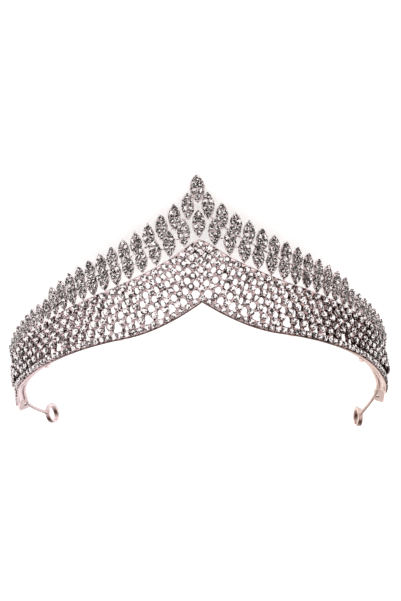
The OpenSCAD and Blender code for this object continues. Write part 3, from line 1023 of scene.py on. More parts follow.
@dataclass(frozen=True)
class OpenworkBand:
    """The cast band: a pierced plate between rail and hem, with a seat for every stone."""

    net: Net = Net()
    stone_d: float = 2.8
    stone_h: float = 1.5
    stone_up: float = 0.1
    seat_h: float = 1.06
    hem_d: float = 2.35
    hem_h: float = 1.25
    hem_up: float = 1.5
    hem_pitch: float = 2.65
    hem_seat_h: float = 0.85
    hem_claws: tuple[float, ...] = (42.0, 138.0, 222.0, 318.0)
    hem_claw_r: float = 0.2
    hem_short: float = 0.8
    hem_steps: int = 600
    hem_full: float = 98.0
    edge_in: float = 0.2
    web: float = 0.62
    seat_r: float = 1.52
    hole_range: tuple[float, float] = (0.15, 0.92)
    grazing: float = 0.05
    bevel: float = 0.14
    parts: int = 4
    bar_parts: int = 224
    bar_sides: int = 10
    # painted shade: the next two values darken the holes' walls and back faces, and the plain faces a little
    hole_shades: tuple[float, ...] = (0.85, 1.0, 0.05, 0.4, 0.6)
    plain_shade: float = 0.7
    roundness: float = 0.7
    rail_deep: float = 0.62
    rim_r: float = 0.22
    rim_deep: float = 0.54
    # painted shade along the fine rim under the hem: dark in the middle, brightening between these two
    # distances to full at the ends
    rim_bright: tuple[float, float] = (52.0, 78.0)
    rim_shades: tuple[float, float] = (0.1, 0.95)
    hem_least: float = 0.55
    hem_over: float = 16.0

    def cells(self) -> dict[int, tuple[Array, Array]]:
        """Corners of the net's cells on one arm, and whether each corner is a stone.

        Returns:
            For four and for five corners, arrays shaped (n, corners, 2) and (n, corners).
        """
        columns, under, hem = self.net.columns(), self.under(), self.hem_points()
        found: dict[int, list] = {4: [], 5: []}
        for k, (near, far) in enumerate(zip(columns, columns[1:])):
            for j, stone in enumerate(near):
                row = [(stone, 1)]
                if j < len(near) - 1:
                    row += [(near[j + 1], 1), (far[j], 1)]
                else:
                    row += [(hem[k], 0), (hem[k + 1], 0)]
                    row += [(far[j], 1)] if len(far) > j else []
                row += [(far[j - 1], 1) if j else (under[k + 1], 0)]
                found[len(row)].append(row)
        pairs = {n: [tuple(zip(*row)) for row in rows] for n, rows in found.items()}
        return {
            n: (np.array([p[0] for p in rows]), np.array([p[1] for p in rows], bool))
            for n, rows in pairs.items()
        }

    def top(self) -> Array:
        """Points on the rail's top edge, half a pitch before each column.

        Returns:
            Places (s, h), one for each column.
        """
        k = np.arange(len(self.net.columns()))
        s = np.where(k == 0, 0, self.net.along_rail((k - 0.5) * self.net.pitch))
        return np.stack([s, self.net.rail(s)], -1)

    def under(self) -> Array:
        """The rail's lower edge below the points of its top edge."""
        s, h = self.top().T
        return np.stack([s, h - self.net.rail_w / np.cos(self.net.fall(s))], -1)

    def hem_points(self) -> Array:
        """The hem's top edge below the lowest stone of each column."""
        s = np.array([column[-1, 0] for column in self.net.columns()])
        return np.stack([s, self.net.hem(s) + self.net.hem_w], -1)

    def sides(self, corners: Array) -> Array:
        """Points spaced evenly along the sides of polygons: corner (1 - f) + next corner f.

        Args:
            corners: the polygons' corners, shaped (n, corners, 2).

        Returns:
            The points, shaped (n, corners times the parts of a side, 2).
        """
        f = (np.arange(self.parts) / self.parts)[None, None, :, None]
        following = np.roll(corners, -1, axis=1)
        return (corners[:, :, None] * (1 - f) + following[:, :, None] * f).reshape(len(corners), -1, 2)

    def hole(self, corners: Array, stone: Array) -> tuple[Array, Array]:
        """The rounded hole in each cell.

        From the cell's middle, rays go to points spaced along its sides. Each ray ends at the
        nearest of the stones' seats and the webs along the sides, and the ends are smoothed.

        Args:
            corners: cells' corners, shaped (n, corners, 2).
            stone: whether each corner is a stone.

        Returns:
            The points along the sides and the hole's points, shaped (n, rays, 2).
        """
        outer = self.sides(corners)
        middle = corners.mean(1, keepdims=True)
        reach = np.linalg.norm(outer - middle, axis=-1, keepdims=True)
        ray = (outer - middle) / reach
        side = np.roll(corners, -1, axis=1) - corners
        normal = unit(np.stack([side[..., 1], -side[..., 0]], -1))
        gap = corners - middle
        depth = (gap * normal).sum(-1)[:, None]
        speed = np.einsum("nrc,nec->nre", ray, normal)
        to_web = np.where(speed > self.grazing, (depth - self.web) / np.maximum(speed, self.grazing), FAR)
        b = np.einsum("nrc,nec->nre", ray, gap)
        under_root = b**2 - (gap**2).sum(-1)[:, None] + self.seat_r**2
        meets = (under_root > 0) & (b > 0) & stone[:, None]
        to_seat = np.where(meets, b - np.sqrt(np.maximum(under_root, 0)), FAR)
        length = np.minimum(to_web.min(-1), to_seat.min(-1))
        for _ in range(2):
            length = 0.5 * length + 0.25 * (np.roll(length, 1, 1) + np.roll(length, -1, 1))
        least, most = self.hole_range
        return outer, middle + ray * np.clip(length[..., None], least, most * reach)

    def on_wall(self, side: Side, flat: Array, o: float) -> Array:
        """Points (s, h) of one arm, set on the wall at o out of it."""
        return self.net.wall.at(side.value * flat[..., 0], flat[..., 1], o)

    def pierced(self, shape: Shape, side: Side) -> None:
        """Adds the cells of one arm: front face, bevel, hole wall and back face, ring by ring.

        Args:
            shape: the shape that receives them.
            side: the arm.
        """
        t, c = self.net.thick, self.bevel
        for corners, stone in self.cells().values():
            outer, inner = self.hole(corners, stone)
            wide = inner + c * unit(inner - corners.mean(1, keepdims=True))
            layers = ((outer, 0.0), (wide, 0.0), (inner, -c), (inner, c - t), (wide, -t), (outer, -t))
            rings = np.stack([self.on_wall(side, p, o) for p, o in layers], 1)
            n, rows, m = rings.shape[:3]
            one = side.facing(loft_faces(rows, m))
            # painted shade: front faces light, the hole's wall darkest, back faces darker
            tone = np.tile(np.repeat(self.hole_shades, m), n)
            shape.add(rings, copies([one], n, rows * m), [tone])

    def plain(self, shape: Shape, side: Side) -> None:
        """Adds the plain faces of one arm: below the rail, along the hem, and the tail.

        Args:
            shape: the shape that receives them.
            side: the arm.
        """
        columns, under, hem = self.net.columns(), self.under(), self.hem_points()
        top = self.top() - [0, self.edge_in]
        foot = hem - [0, self.net.hem_w - self.edge_in]
        first = np.stack([column[0] for column in columns])
        far = np.array([self.net.tail_mid, self.net.end])
        low = np.stack([far, np.full(2, self.edge_in)], -1)
        high = np.stack([far, self.net.rail(far) - self.edge_in], -1)
        sheets = [
            np.stack([top[:-1], under[:-1], under[1:], top[1:]], 1),
            np.stack([under[:-1], first[:-1], under[1:]], 1),
            np.stack([hem[:-1], foot[:-1], foot[1:], hem[1:]], 1),
            np.vstack([top[-1:], under[-1:], columns[-1], hem[-1:], foot[-1:], low[:1], high[:1]])[None],
            np.stack([high[0], low[0], low[1], high[1]])[None],
        ]
        for sheet in map(self.sides, sheets):
            faces = np.arange(sheet.shape[0] * sheet.shape[1]).reshape(sheet.shape[:2])
            front = side.facing(faces)
            for o, order in ((0.0, front), (-self.net.thick, front[:, ::-1])):
                shape.add(self.on_wall(side, sheet, o), [order], self.plain_shade)
        edge = self.sides(np.vstack([foot, low, high[::-1], top[::-1]])[None])[0][: 1 - self.parts]
        ring = np.stack([self.on_wall(side, edge, o) for o in (0.0, -self.net.thick)])
        quads = loft_faces(2, len(edge), closed=False)[:, ::-1]
        shape.add(ring, [side.facing(quads)], self.plain_shade)

    def bead_line(
        self, shape: Shape, s: Array, height: Array, profile: tuple[Array, Array], tone: Array
    ) -> None:
        """Adds a bar along the band.

        Args:
            shape: the shape that receives it.
            s: distances along the wall.
            height: the bar's height at each.
            profile: how far its points lie up and out; up is divided by the slope's cosine.
            tone: brightness at each distance.
        """
        up, out = profile
        rise = up[None] / np.cos(np.arctan(np.gradient(height, s)))[:, None]
        rings = self.net.wall.at(s[:, None], height[:, None] + rise, np.broadcast_to(out, rise.shape))
        shape.add(rings, tube(rings), [np.repeat(tone[1:], len(up)), np.ones(2)])

    def rails(self, shape: Shape, rim: Shape) -> None:
        """Adds the rounded rail on top and the fine rim under the hem, in painted shade but for its ends.

        Args:
            shape: the shape that receives the rail.
            rim: the shape that receives the rim.
        """
        s = np.linspace(-self.net.end, self.net.end, self.bar_parts + 1)
        a = np.arange(self.bar_sides) * 2 * np.pi / self.bar_sides
        up, out = (np.sign(v) * np.abs(v) ** self.roundness for v in (np.cos(a), np.sin(a)))
        half, fine, middle = self.net.rail_w / 2, self.rim_r, -self.net.thick / 2
        rail = self.net.rail(s) - half / np.cos(self.net.fall(s))
        self.bead_line(shape, s, rail, (half * up, middle + self.rail_deep * out), np.ones(len(s)))
        (start, full), (dark, bright) = self.rim_bright, self.rim_shades
        ends = dark + (bright - dark) * ease((np.abs(s) - start) / (full - start))
        self.bead_line(rim, s, self.net.hem(s) + fine, (fine * up, middle + self.rim_deep * out), ends)

    def hem_size(self, s: Array) -> Array:
        """Size of the hem's stones: full, and towards the ends softly down to the least share of it."""
        return 1 - (1 - self.hem_least) * ease((np.abs(s) - self.hem_full) / self.hem_over)

    def hem_places(self) -> tuple[Places, Array]:
        """The close-set stones along the hem.

        A stone takes up the pitch times its size, so the length over that, summed, counts them.

        Returns:
            Their frames, turned with the hem's slope, and their sizes.
        """
        run = np.linspace(0, self.net.end - self.hem_short, self.hem_steps)
        count = np.concatenate([[0], np.cumsum(np.diff(run) / (self.hem_pitch * self.hem_size(run[1:])))])
        half = np.interp(np.arange(1, int(count[-1]) + 1), count, run)
        s = np.concatenate([-half[::-1], [0], half])
        size = self.hem_size(s)
        slope = np.arctan(np.gradient(self.net.hem(s), s))
        places = self.net.wall.places(s, self.net.hem(s) + size * self.hem_up / np.cos(slope), 0.0)
        return places.turned(slope), size

    def build(self, finishes: Finishes) -> None:
        """Builds the band, its seats and its stones.

        Args:
            finishes: the materials, by their slots.
        """
        plate, rim, seats, row = Shape(), Shape(), Shape(), Shape()
        for side in Side:
            self.pierced(plate, side)
            self.plain(plate, side)
        self.rails(plate, rim)
        put(plate, "openwork_band", finishes, "silver", "band")
        put(rim, "hem_rim", finishes, "warm_silver")
        cut = RoundCut(self.stone_d, self.stone_h)
        collet = Collet(self.stone_d / 2, self.seat_h)
        for side in Side:
            places = self.net.stones(side)
            collet.add(seats, places)
            gems = set_stones(places.moved(0, 0, self.stone_up), cut, NET_LOOK, side.value + 1)
            put(gems, f"net_gems_{side.word}", finishes, "crystal", f"net_stones_{side.word}", smooth=0)
        put(seats, "stone_seats", finishes, "silver")
        places, size = self.hem_places()
        collet = Collet(self.hem_d / 2, self.hem_seat_h, claws=self.hem_claws, claw_r=self.hem_claw_r)
        collet.add(row, places, size)
        cut = RoundCut(self.hem_d, self.hem_h)
        gems = set_stones(places.moved(0, 0, self.stone_up), cut, HEM_LOOK, HEM_SEED, size)
        put(row, "hem_seats", finishes, "silver")
        put(gems, "hem_gems", finishes, "crystal", smooth=0)


# The leaves

# Places of a leaf's claws and stones, in shares of its width and length from its middle
CLAW_SPOTS = (
    (0, 0.462), (0, -0.455), (0.25, 0.27), (-0.25, 0.27), (0.27, -0.26), (-0.27, -0.26),
    (0.44, 0.01), (-0.44, 0.01), (0, 0.225), (0, 0.01), (0, -0.215),
)
GEM_SPOTS = ((0, 0.34), (0.22, 0.13), (-0.22, 0.13), (0.22, -0.11), (-0.22, -0.11), (0, -0.33))
# Radius and height of a bead, turned about its own axis
BEAD_PROFILE = np.array([(0, -0.2), (0.3, -0.2), (0.31, 0.45), (0.2, 0.68), (0, 0.74)])
ASKEW = np.array([0.3, 0.2, 1.0])  # a direction that no link runs in


@dataclass(frozen=True)
class LeafRow:
    """Leaves side by side: places, lengths, widths, and where their backs lie."""

    s: Array
    foot: Array
    length: Array
    width: Array
    back: float

    def places(self, wall: Wall) -> Places:
        """Frames at the middles of the leaves' backs."""
        return wall.places(self.s, self.foot + self.length / 2, self.back)

    def spread(self, wall: Wall, spots: tuple[tuple[float, float], ...], out: float) -> Places:
        """Frames at the same spots of every leaf, so far out from its back.

        Args:
            wall: the wall they stand on.
            spots: places in shares of width and length.
            out: distance from the leaves' backs.

        Returns:
            The frames, leaf by leaf.
        """
        x, y = np.array(spots).T
        across, up = np.outer(self.width, x).ravel(), np.outer(self.length, y).ravel()
        return self.places(wall).repeat(len(spots)).moved(across, up, out)


@dataclass(frozen=True)
class Crest:
    """The crest: pointed leaves in two overlapping rows, a centre leaf and the apex leaf."""

    net: Net = Net()
    leaf_l: float = 11.3
    leaf_w: float = 5.2
    leaf_t: float = 1.1
    apex_l: float = 11.5
    apex_w: float = 6.0
    apex_foot: float = 51.0
    recess: float = 0.25
    lower_back: float = -0.9
    upper_back: float = -2.1
    link_d: float = 0.75
    link_out: float = 0.12
    joint: float = 0.1
    lower: int = 21
    upper: int = 13
    lower_run: float = 5.57
    lower_close: float = 0.045
    upper_start: float = 3.6
    upper_run: float = 4.97
    upper_close: float = 0.010
    upper_rise: float = 10.7
    upper_drop: float = 0.11
    shorten: float = 0.043
    fill: float = 0.93
    link_up: float = 1.4
    link_in: float = 0.45
    link_reach: float = 0.34
    # painted shade on the links between leaves
    link_shade: float = 0.85
    link_sides: int = 8
    bead_sides: int = 6
    outline_parts: int = 14
    carry_up: float = 2.0
    carry_in: float = 0.85
    gem: RoundCut = RoundCut(2.0, 1.05, 0.44)
    least_gem: float = 0.75
    rim_w: float = 0.42
    # painted shade: the cups' lower side and the slope into the sunk floor darker, the back and the floor a
    # little dark
    side_shades: tuple[float, ...] = (0.6, 0.7, 1.0, 1.0, 0.7)
    end_shades: tuple[float, float] = (0.7, 0.85)

    def leaf_s(self, k: Array) -> Array:
        """Place of lower leaf k: the run times k, less the closing up times k squared."""
        return self.lower_run * k - self.lower_close * k * k

    def upper_s(self, k: Array) -> Array:
        """Place of upper leaf k: the start, plus the run times k, less the closing up times k squared."""
        return self.upper_start + self.upper_run * k - self.upper_close * k * k

    def upper_foot(self, s: Array) -> Array:
        """Height of an upper leaf's foot: its rise above the rail, less a share of its distance out."""
        return self.net.rail(s) + self.upper_rise - self.upper_drop * s

    def length(self, s: Array) -> Array:
        """Length of a leaf, a little less the further out it stands."""
        return self.leaf_l - self.shorten * np.abs(s)

    def width(self, k: Array) -> Array:
        """Width of a leaf: its share of the room between its neighbours, at most the full width."""
        return np.minimum(self.leaf_w, self.fill * (self.leaf_s(k + 0.5) - self.leaf_s(k - 0.5)))

    def lower_row(self, side: Side, k: Array) -> LeafRow:
        """The lower leaves k, which stand on the rail by their points.

        Args:
            side: the arm.
            k: the leaves, counted from the centre.

        Returns:
            The leaves.
        """
        s = self.leaf_s(k)
        foot = self.net.rail(s) + self.joint + self.link_d * np.tan(self.net.fall(s))
        return LeafRow(side.value * s, foot, self.length(s), self.width(k), self.lower_back)

    def upper_row(self, side: Side) -> LeafRow:
        """The upper leaves, behind the tips of the lower ones.

        Args:
            side: the arm.

        Returns:
            The leaves.
        """
        k = np.arange(self.upper)
        s, width = self.upper_s(k), self.width(k + 0.5)
        return LeafRow(side.value * s, self.upper_foot(s), self.length(s), width, self.upper_back)

    def apex_row(self) -> LeafRow:
        """The one leaf at the very top."""
        s, foot, length, width = np.array([[0], [self.apex_foot], [self.apex_l], [self.apex_w]])
        return LeafRow(s, foot, length, width, self.lower_back)

    def cups(self, shape: Shape, row: LeafRow) -> None:
        """Adds the leaves' metal cups.

        The outline is where two arcs cross: across = sqrt(r r - y y) - r + w / 2 with
        r = (l l + w w) / (4 w). Scaled copies of it at rising heights make the rounded
        side, the rim and the sunk floor.

        Args:
            shape: the shape that receives them.
            row: the leaves.
        """
        w, length = row.width[:, None], row.length[:, None]
        r = (length**2 + w**2) / (4 * w)
        y = np.sin(np.linspace(-np.pi / 2, np.pi / 2, self.outline_parts + 1)) * length / 2
        x = np.sqrt(r**2 - y**2) - r + w / 2
        outline = np.concatenate([np.stack([x, y], -1), np.stack([-x, y], -1)[:, -2:0:-1]], 1)
        rim = self.rim_w / w[..., None]
        t = self.leaf_t
        side = ((1 - 0.3 * rim, 0.0), (1.0, 0.15), (1.0, t - 0.2), (1 - 0.4 * rim, t))
        steps = (*side, (1 - 1.5 * rim, t), (1 - 2 * rim, t - self.recess))
        flat = [np.concatenate([outline * f, np.full((*outline.shape[:2], 1), z)], -1) for f, z in steps]
        places = row.places(self.net.wall)
        rings = places.at[:, None, None] + np.stack(flat, 1) @ places.axes[:, None]
        n, rows, m = rings.shape[:3]
        tone = np.tile(np.repeat(self.side_shades, m), n)
        shape.add(rings, copies(tube(rings[0]), n, rows * m), [tone, np.tile(self.end_shades, n)])

    def beads(self, shape: Shape, row: LeafRow) -> None:
        """Adds the claws as small beads round each leaf's rim and between its stones."""
        places = row.spread(self.net.wall, CLAW_SPOTS, self.leaf_t - self.recess)
        shape.add(*places.stamp(*revolve(BEAD_PROFILE, self.bead_sides)), 1.0)

    def gems(self, row: LeafRow, seed: int) -> Shape:
        """Makes six stones for each leaf: one near each tip and two pairs between them.

        Args:
            row: the leaves.
            seed: seed of the stones' chance.

        Returns:
            The stones as one shape.
        """
        size = np.repeat(np.clip(row.width / self.leaf_w, self.least_gem, 1), len(GEM_SPOTS))
        places = row.spread(self.net.wall, GEM_SPOTS, self.leaf_t - self.recess + self.joint)
        return set_stones(places, self.gem, LEAF_LOOK, seed, size)

    def bar(self, shape: Shape, start: Array, stop: Array, width: float) -> None:
        """Adds round bars between pairs of points: circles about the straight line.

        Args:
            shape: the shape that receives them.
            start: where the bars start, shaped (n, 3).
            stop: where they end.
            width: their thickness.
        """
        v = unit(stop - start)
        x, n = unit(np.cross(v, ASKEW)), self.link_sides
        rings = pipe(np.stack([start, stop], 1), x[:, None], np.cross(v, x)[:, None], width / 2, n)
        shape.add(rings, copies(tube(rings[0]), len(rings), 2 * n), self.link_shade)

    def links(
        self,
        shape: Shape,
        side: Side,
        s: Array,
        reach: Amount,
        start_h: Array,
        stop_h: Array,
        o: float,
        width: float,
    ) -> None:
        """Adds the links between neighbouring leaves.

        Args:
            shape: the shape that receives them.
            side: the arm.
            s: the leaves' places.
            reach: how far from its leaf's middle a link starts and ends.
            start_h: the links' heights where they start.
            stop_h: their heights where they end.
            o: how far out they lie.
            width: their thickness.
        """
        start = self.net.wall.at(side.value * (s + reach)[:-1], start_h, o)
        stop = self.net.wall.at(side.value * (s - reach)[1:], stop_h, o)
        self.bar(shape, start, stop, width)

    def lower_links(self, shape: Shape, side: Side) -> None:
        """Adds the links between neighbouring lower leaves, at half their height.

        Args:
            shape: the shape that receives them.
            side: the arm.
        """
        k = np.arange(1, self.lower + 1)
        s = self.leaf_s(k)
        mid = self.net.rail(s) + self.length(s) / 2
        h = (mid[1:] + mid[:-1]) / 2
        o = self.lower_back + self.leaf_t / 2 - self.recess / 2
        self.links(shape, side, s, self.link_reach * self.width(k), h, h, o, self.link_d - self.recess)

    def upper_links(self, shape: Shape, side: Side) -> None:
        """Adds the links between neighbouring upper leaves, near their feet.

        Args:
            shape: the shape that receives them.
            side: the arm.
        """
        s = self.upper_s(np.arange(self.upper))
        h = self.upper_foot(s) + self.link_up
        o = self.upper_back + self.link_d / 2 + self.link_out
        self.links(shape, side, s, self.link_in, h[:-1], h[1:], o, self.link_d)

    def shoulders(self, shape: Shape) -> None:
        """Adds the two bars that carry the apex leaf on the first upper leaves.

        Args:
            shape: the shape that receives them.
        """
        row = self.upper_row(Side.RIGHT)
        h = row.foot[0] + row.length[0] - self.carry_up
        o = self.lower_back + self.link_d / 2 + self.link_out
        start = self.net.wall.at(np.zeros(2), self.apex_foot + self.carry_up, o)
        stop = self.net.wall.at(np.array([-1, 1]) * row.s[0] * self.carry_in, h, o)
        self.bar(shape, start, stop, self.link_d)

    def leaves(
        self, name: str, row: LeafRow, metal: Shape, finishes: Finishes, seed: int, *nodes: str
    ) -> None:
        """Builds the cups, claws and stones of one row as two pieces.

        Args:
            name: the metal piece's name.
            row: the leaves.
            metal: the shape that already holds their links.
            finishes: the materials.
            seed: seed of the stones' chance.
            nodes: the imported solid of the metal, and of the stones where there is one.
        """
        self.cups(metal, row)
        self.beads(metal, row)
        put(metal, name, finishes, "leaf_silver", nodes[0])
        put(self.gems(row, seed), f"{name}_gems", finishes, "crystal", *nodes[1:], smooth=0)

    def build(self, finishes: Finishes) -> None:
        """Builds every leaf of the crest.

        Args:
            finishes: the materials, by their slots.
        """
        for side in Side:
            word, turn = side.word, side.value
            lower, upper = Shape(), Shape()
            self.lower_links(lower, side)
            row = self.lower_row(side, np.arange(1, self.lower + 1))
            solid = f"lower_leaves_{word}"
            self.leaves(f"low_leaves_{word}", row, lower, finishes, LOWER_SEED + turn, solid)
            self.upper_links(upper, side)
            row = self.upper_row(side)
            solid = f"upper_leaves_{word}"
            self.leaves(f"high_leaves_{word}", row, upper, finishes, UPPER_SEED + turn, solid)
        row = self.lower_row(Side.RIGHT, np.zeros(1))
        self.leaves("middle_leaf", row, Shape(), finishes, MIDDLE_SEED, "centre_leaf", "centre_leaf_stones")
        apex = Shape()
        self.shoulders(apex)
        self.leaves("top_leaf", self.apex_row(), apex, finishes, TOP_SEED, "apex_leaf", "apex_leaf_stones")


# The base: strip, wire, end plates and loops

# Radius and height of a solder tab, before its size stretches it
TAB_PROFILE = np.array([(0, -0.5), (0.9, -0.5), (1.0, 0.0), (0.8, 0.45), (0, 0.6)])


@dataclass(frozen=True)
class Bend:
    """How one end was bent by hand: its plate's length, its hole, its tail's run and its loop."""

    plate_l: float
    hole_out: float
    tail_run: float
    loop: tuple[float, float, float]
    turn: float


BENDS = {
    Side.LEFT: Bend(6.4, 2.9, 3.4, (-63.1, 87.2, 2.0), 59.04),
    Side.RIGHT: Bend(10.2, 6.3, 6.0, (69.3, 91.9, -2.9), 99.11),
}


@dataclass(frozen=True)
class Base:
    """The strip behind the hem, the wire on it, the two bare end plates and the loops."""

    net: Net = Net()
    strip_w: float = 2.3
    root_w: float = 3.0
    plate_w: float = 4.6
    plate_out: float = 0.8
    strip_t: float = 0.8
    wire_d: float = 1.2
    wire_low: float = 1.4
    strip_end: float = 112.0
    wire_end: float = 111.0
    flare_l: float = 3.0
    dip: float = 10.0
    cut: float = 1.2
    hole_across: float = 2.3
    plate_bore: float = 1.8
    tail_rise: float = 0.9
    loop_d: float = 8.0
    loop_bore: float = 6.0
    loop_deep: float = 2.2
    joint: float = 0.1
    bevel: float = 0.22
    fine: float = 0.07
    tail_w: float = 1.12
    tail_flare: float = 0.3
    twist: float = 78.0
    twist_from: float = 70.0
    lift: float = 0.7
    lift_from: float = 30.0
    lift_over: float = 60.0
    flare_from: float = 100.0
    flare_over: float = 12.0
    strip_parts: int = 224
    wire_parts: int = 222
    wire_sides: int = 12
    # painted shade: wire faces turned towards the strip are darker, the hidden ones darkest
    shaded: float = -0.3
    hidden: float = -0.8
    shade_tone: float = 0.4
    tail_gap: float = 0.02
    tail_parts: int = 16
    # painted shade on the underside of the loops' tails; the other faces are toned a little darker throughout
    tail_below: float = 0.8
    tail_shades: tuple[float, float] = (0.5, 0.78)
    loop_parts: int = 48
    # painted shade on the loops' rings: the inner bevels a little dark, and the inner and outer faces dark
    # round one angle each
    loop_tones: tuple[float, ...] = (0.8, 1, 1, 1, 1, 1, 0.8, 1)
    loop_shades: tuple[tuple[int, float, float], ...] = ((7, 0.9, 0.52), (3, 0.8, 4.0))
    plate_rays: int = 41
    plate_bevels: tuple[float, float] = (0.1, 0.12)
    # painted shade on the end plates: the bore's bevels a little dark and its wall darkest
    plate_tones: tuple[float, ...] = (0.7, 1.0, 1.0, 1.0, 1.0, 1.0, 0.6, -0.2)
    tab_size: tuple[float, float, float] = (1.7, 0.85, 1.0)
    tab_out: float = 1.1
    tab_sides: int = 12
    tabs_at: tuple[float, ...] = (-71.6, -33.2, 36.4, 77.6)

    def axes(self, s: Array) -> tuple[Array, Array, Array]:
        """The strip's edge, its direction across and its inner face's direction.

        The strip stands upright at the front. Towards its ends it turns by the twist, with the
        third power of the way.

        Args:
            s: distances along the wall from its centre.

        Returns:
            Three arrays shaped (n, 3).
        """
        _, u, n = self.net.wall.axes(s)
        way = np.clip((np.abs(s) - self.twist_from) / (self.strip_end - self.twist_from), 0, 1)
        twist = np.radians(self.twist * way**3)[:, None]
        lift = self.lift * (1 - ease((np.abs(s) - self.lift_from) / self.lift_over))
        foot = self.net.wall.at(s, self.net.hem(s) + lift, -self.net.thick - self.joint)
        return foot, np.cos(twist) * u - np.sin(twist) * n, -np.cos(twist) * n - np.sin(twist) * u

    def flare(self, s: Array) -> Array:
        """How far the strip has widened towards the plates: a soft step from 0 to 1."""
        return ease((np.abs(s) - self.flare_from) / self.flare_over)

    def between_sides(self) -> Array:
        """Angles of the wire's faces, half a step from its points."""
        return (np.arange(self.wire_sides) + 0.5) * 2 * np.pi / self.wire_sides

    def strip(self, finishes: Finishes) -> None:
        """Builds the strip: a flat bar with rounded edges carried along the wall.

        Args:
            finishes: the materials, by their slots.
        """
        s = np.linspace(-self.strip_end, self.strip_end, self.strip_parts + 1)
        t, c, e = self.strip_t, self.bevel, self.fine
        far = np.array([0, 1, 1, 1, 1, 1, 1, 0, 0, 0, 0, 0])
        inset = np.array([c, -c, -e, 0, 0, -e, -c, c, e, 0, 0, e])
        proud = np.array([0, 0, e, c, t - c, t - e, t, t, t - e, t - c, c, e])
        width = self.strip_w + (self.root_w - self.strip_w) * self.flare(s)
        foot, d, m = (v[:, None] for v in self.axes(s))
        across = width[:, None] * far + inset
        rings = (foot + across[..., None] * d + proud[:, None] * m)[:, ::-1]
        shape = Shape()
        shape.add(rings, tube(rings))
        put(shape, "strip", finishes, "warm_silver", "base_strip")

    def wire_line(self, s: Array) -> tuple[Array, Array, Array]:
        """The wire's middle line on the strip, with the two directions across it.

        Args:
            s: distances along the wall from its centre.

        Returns:
            Three arrays shaped (n, 3).
        """
        foot, d, m = self.axes(s)
        far = self.root_w - self.wire_d / 2 - self.joint
        across = self.wire_low + (far - self.wire_low) * self.flare(s)[:, None]
        return foot + across * d + (self.strip_t + self.joint + self.wire_d / 2) * m, d, m

    def wire(self, finishes: Finishes) -> None:
        """Builds the wire: circles about its middle line, with painted shade where it faces the strip.

        Args:
            finishes: the materials, by their slots.
        """
        s = np.linspace(-self.wire_end, self.wire_end, self.wire_parts + 1)
        middle, d, m = self.wire_line(s)
        rings = pipe(middle, d, -m, self.wire_d / 2, self.wire_sides)
        facing = -np.sin(self.between_sides())
        tone = np.where(facing > self.shaded, 1.0, np.where(facing > self.hidden, self.shade_tone, 0.0))
        shape = Shape()
        shape.add(rings, tube(rings), [np.tile(tone, len(s) - 1), np.ones(2)])
        put(shape, "wire", finishes, "warm_silver", "base_wire")

    def plate_axes(self, side: Side) -> tuple[Array, Array, Array, Array]:
        """A plate's root, and its directions outwards, across and out of its inner face.

        Args:
            side: the arm.

        Returns:
            Four arrays of three numbers.
        """
        s = np.array([side.value * self.strip_end])
        foot, d, m = (v[0] for v in self.axes(s))
        e = side.value * self.net.wall.axes(s)[0][0]
        c, q = math.cos(math.radians(self.dip)), math.sin(math.radians(self.dip))
        return foot, c * e + q * m, d, c * m - q * e

    def plate_corners(self, length: float) -> Array:
        """The flared outline of a plate with two cut corners, shaped (8, 2).

        Args:
            length: how far the plate reaches from its root.

        Returns:
            The corners, each as distances outwards and across.
        """
        gap = self.joint + self.strip_t * math.tan(math.radians(self.dip))
        near, far, c = -self.plate_out, self.plate_w - self.plate_out, self.cut
        low = [(gap, 0), (self.flare_l, near), (length - c / 4, near), (length, near + c / 4)]
        high = [(length, far - c), (length - c, far), (self.flare_l, far), (gap, self.root_w)]
        return np.array(low + high)

    def plate(self, side: Side, finishes: Finishes) -> None:
        """Builds an end plate.

        From the hole's middle, rays go to the flared outline: each is as long as the nearest
        side allows, depth / cos. The rings between outline and hole have small bevels.

        Args:
            side: the arm.
            finishes: the materials.
        """
        root, e, d, m = self.plate_axes(side)
        corners = self.plate_corners(BENDS[side].plate_l)
        hole = np.array([BENDS[side].hole_out, self.hole_across])
        spokes = corners - hole
        even = np.linspace(-np.pi, np.pi, self.plate_rays + 1)[1:]
        turns = np.sort(np.concatenate([np.arctan2(spokes[:, 1], spokes[:, 0]), even]))
        ray = np.stack([np.cos(turns), np.sin(turns)], -1)
        edge = np.roll(corners, -1, axis=0) - corners
        normal = unit(np.stack([edge[:, 1], -edge[:, 0]], -1))
        speed = ray @ normal.T
        depth = (spokes * normal).sum(1)
        reach = np.where(speed > FLAT, depth / np.maximum(speed, FLAT), FAR).min(1)[:, None]
        r, t, (b, c) = self.plate_bore / 2, self.strip_t, self.plate_bevels
        inner = ((r, b), (r + c, 0.0), (reach - b, 0.0), (reach, c))
        steps = (*inner, (reach, t - c), (reach - b, t), (r + c, t), (r, t - b), (r, b))
        flat = [np.concatenate([hole + ray * far, np.full((len(ray), 1), z)], -1) for far, z in steps]
        rings = root + np.stack(flat) @ np.stack([e, d, m])
        faces = loft_faces(len(steps), len(ray))[:, ::-1]
        tone = np.repeat(self.plate_tones, len(ray))
        shape = Shape()
        shape.add(rings, [side.facing(faces)], [tone])
        put(shape, f"plate_{side.word}", finishes, "warm_silver", f"end_plate_{side.word}")

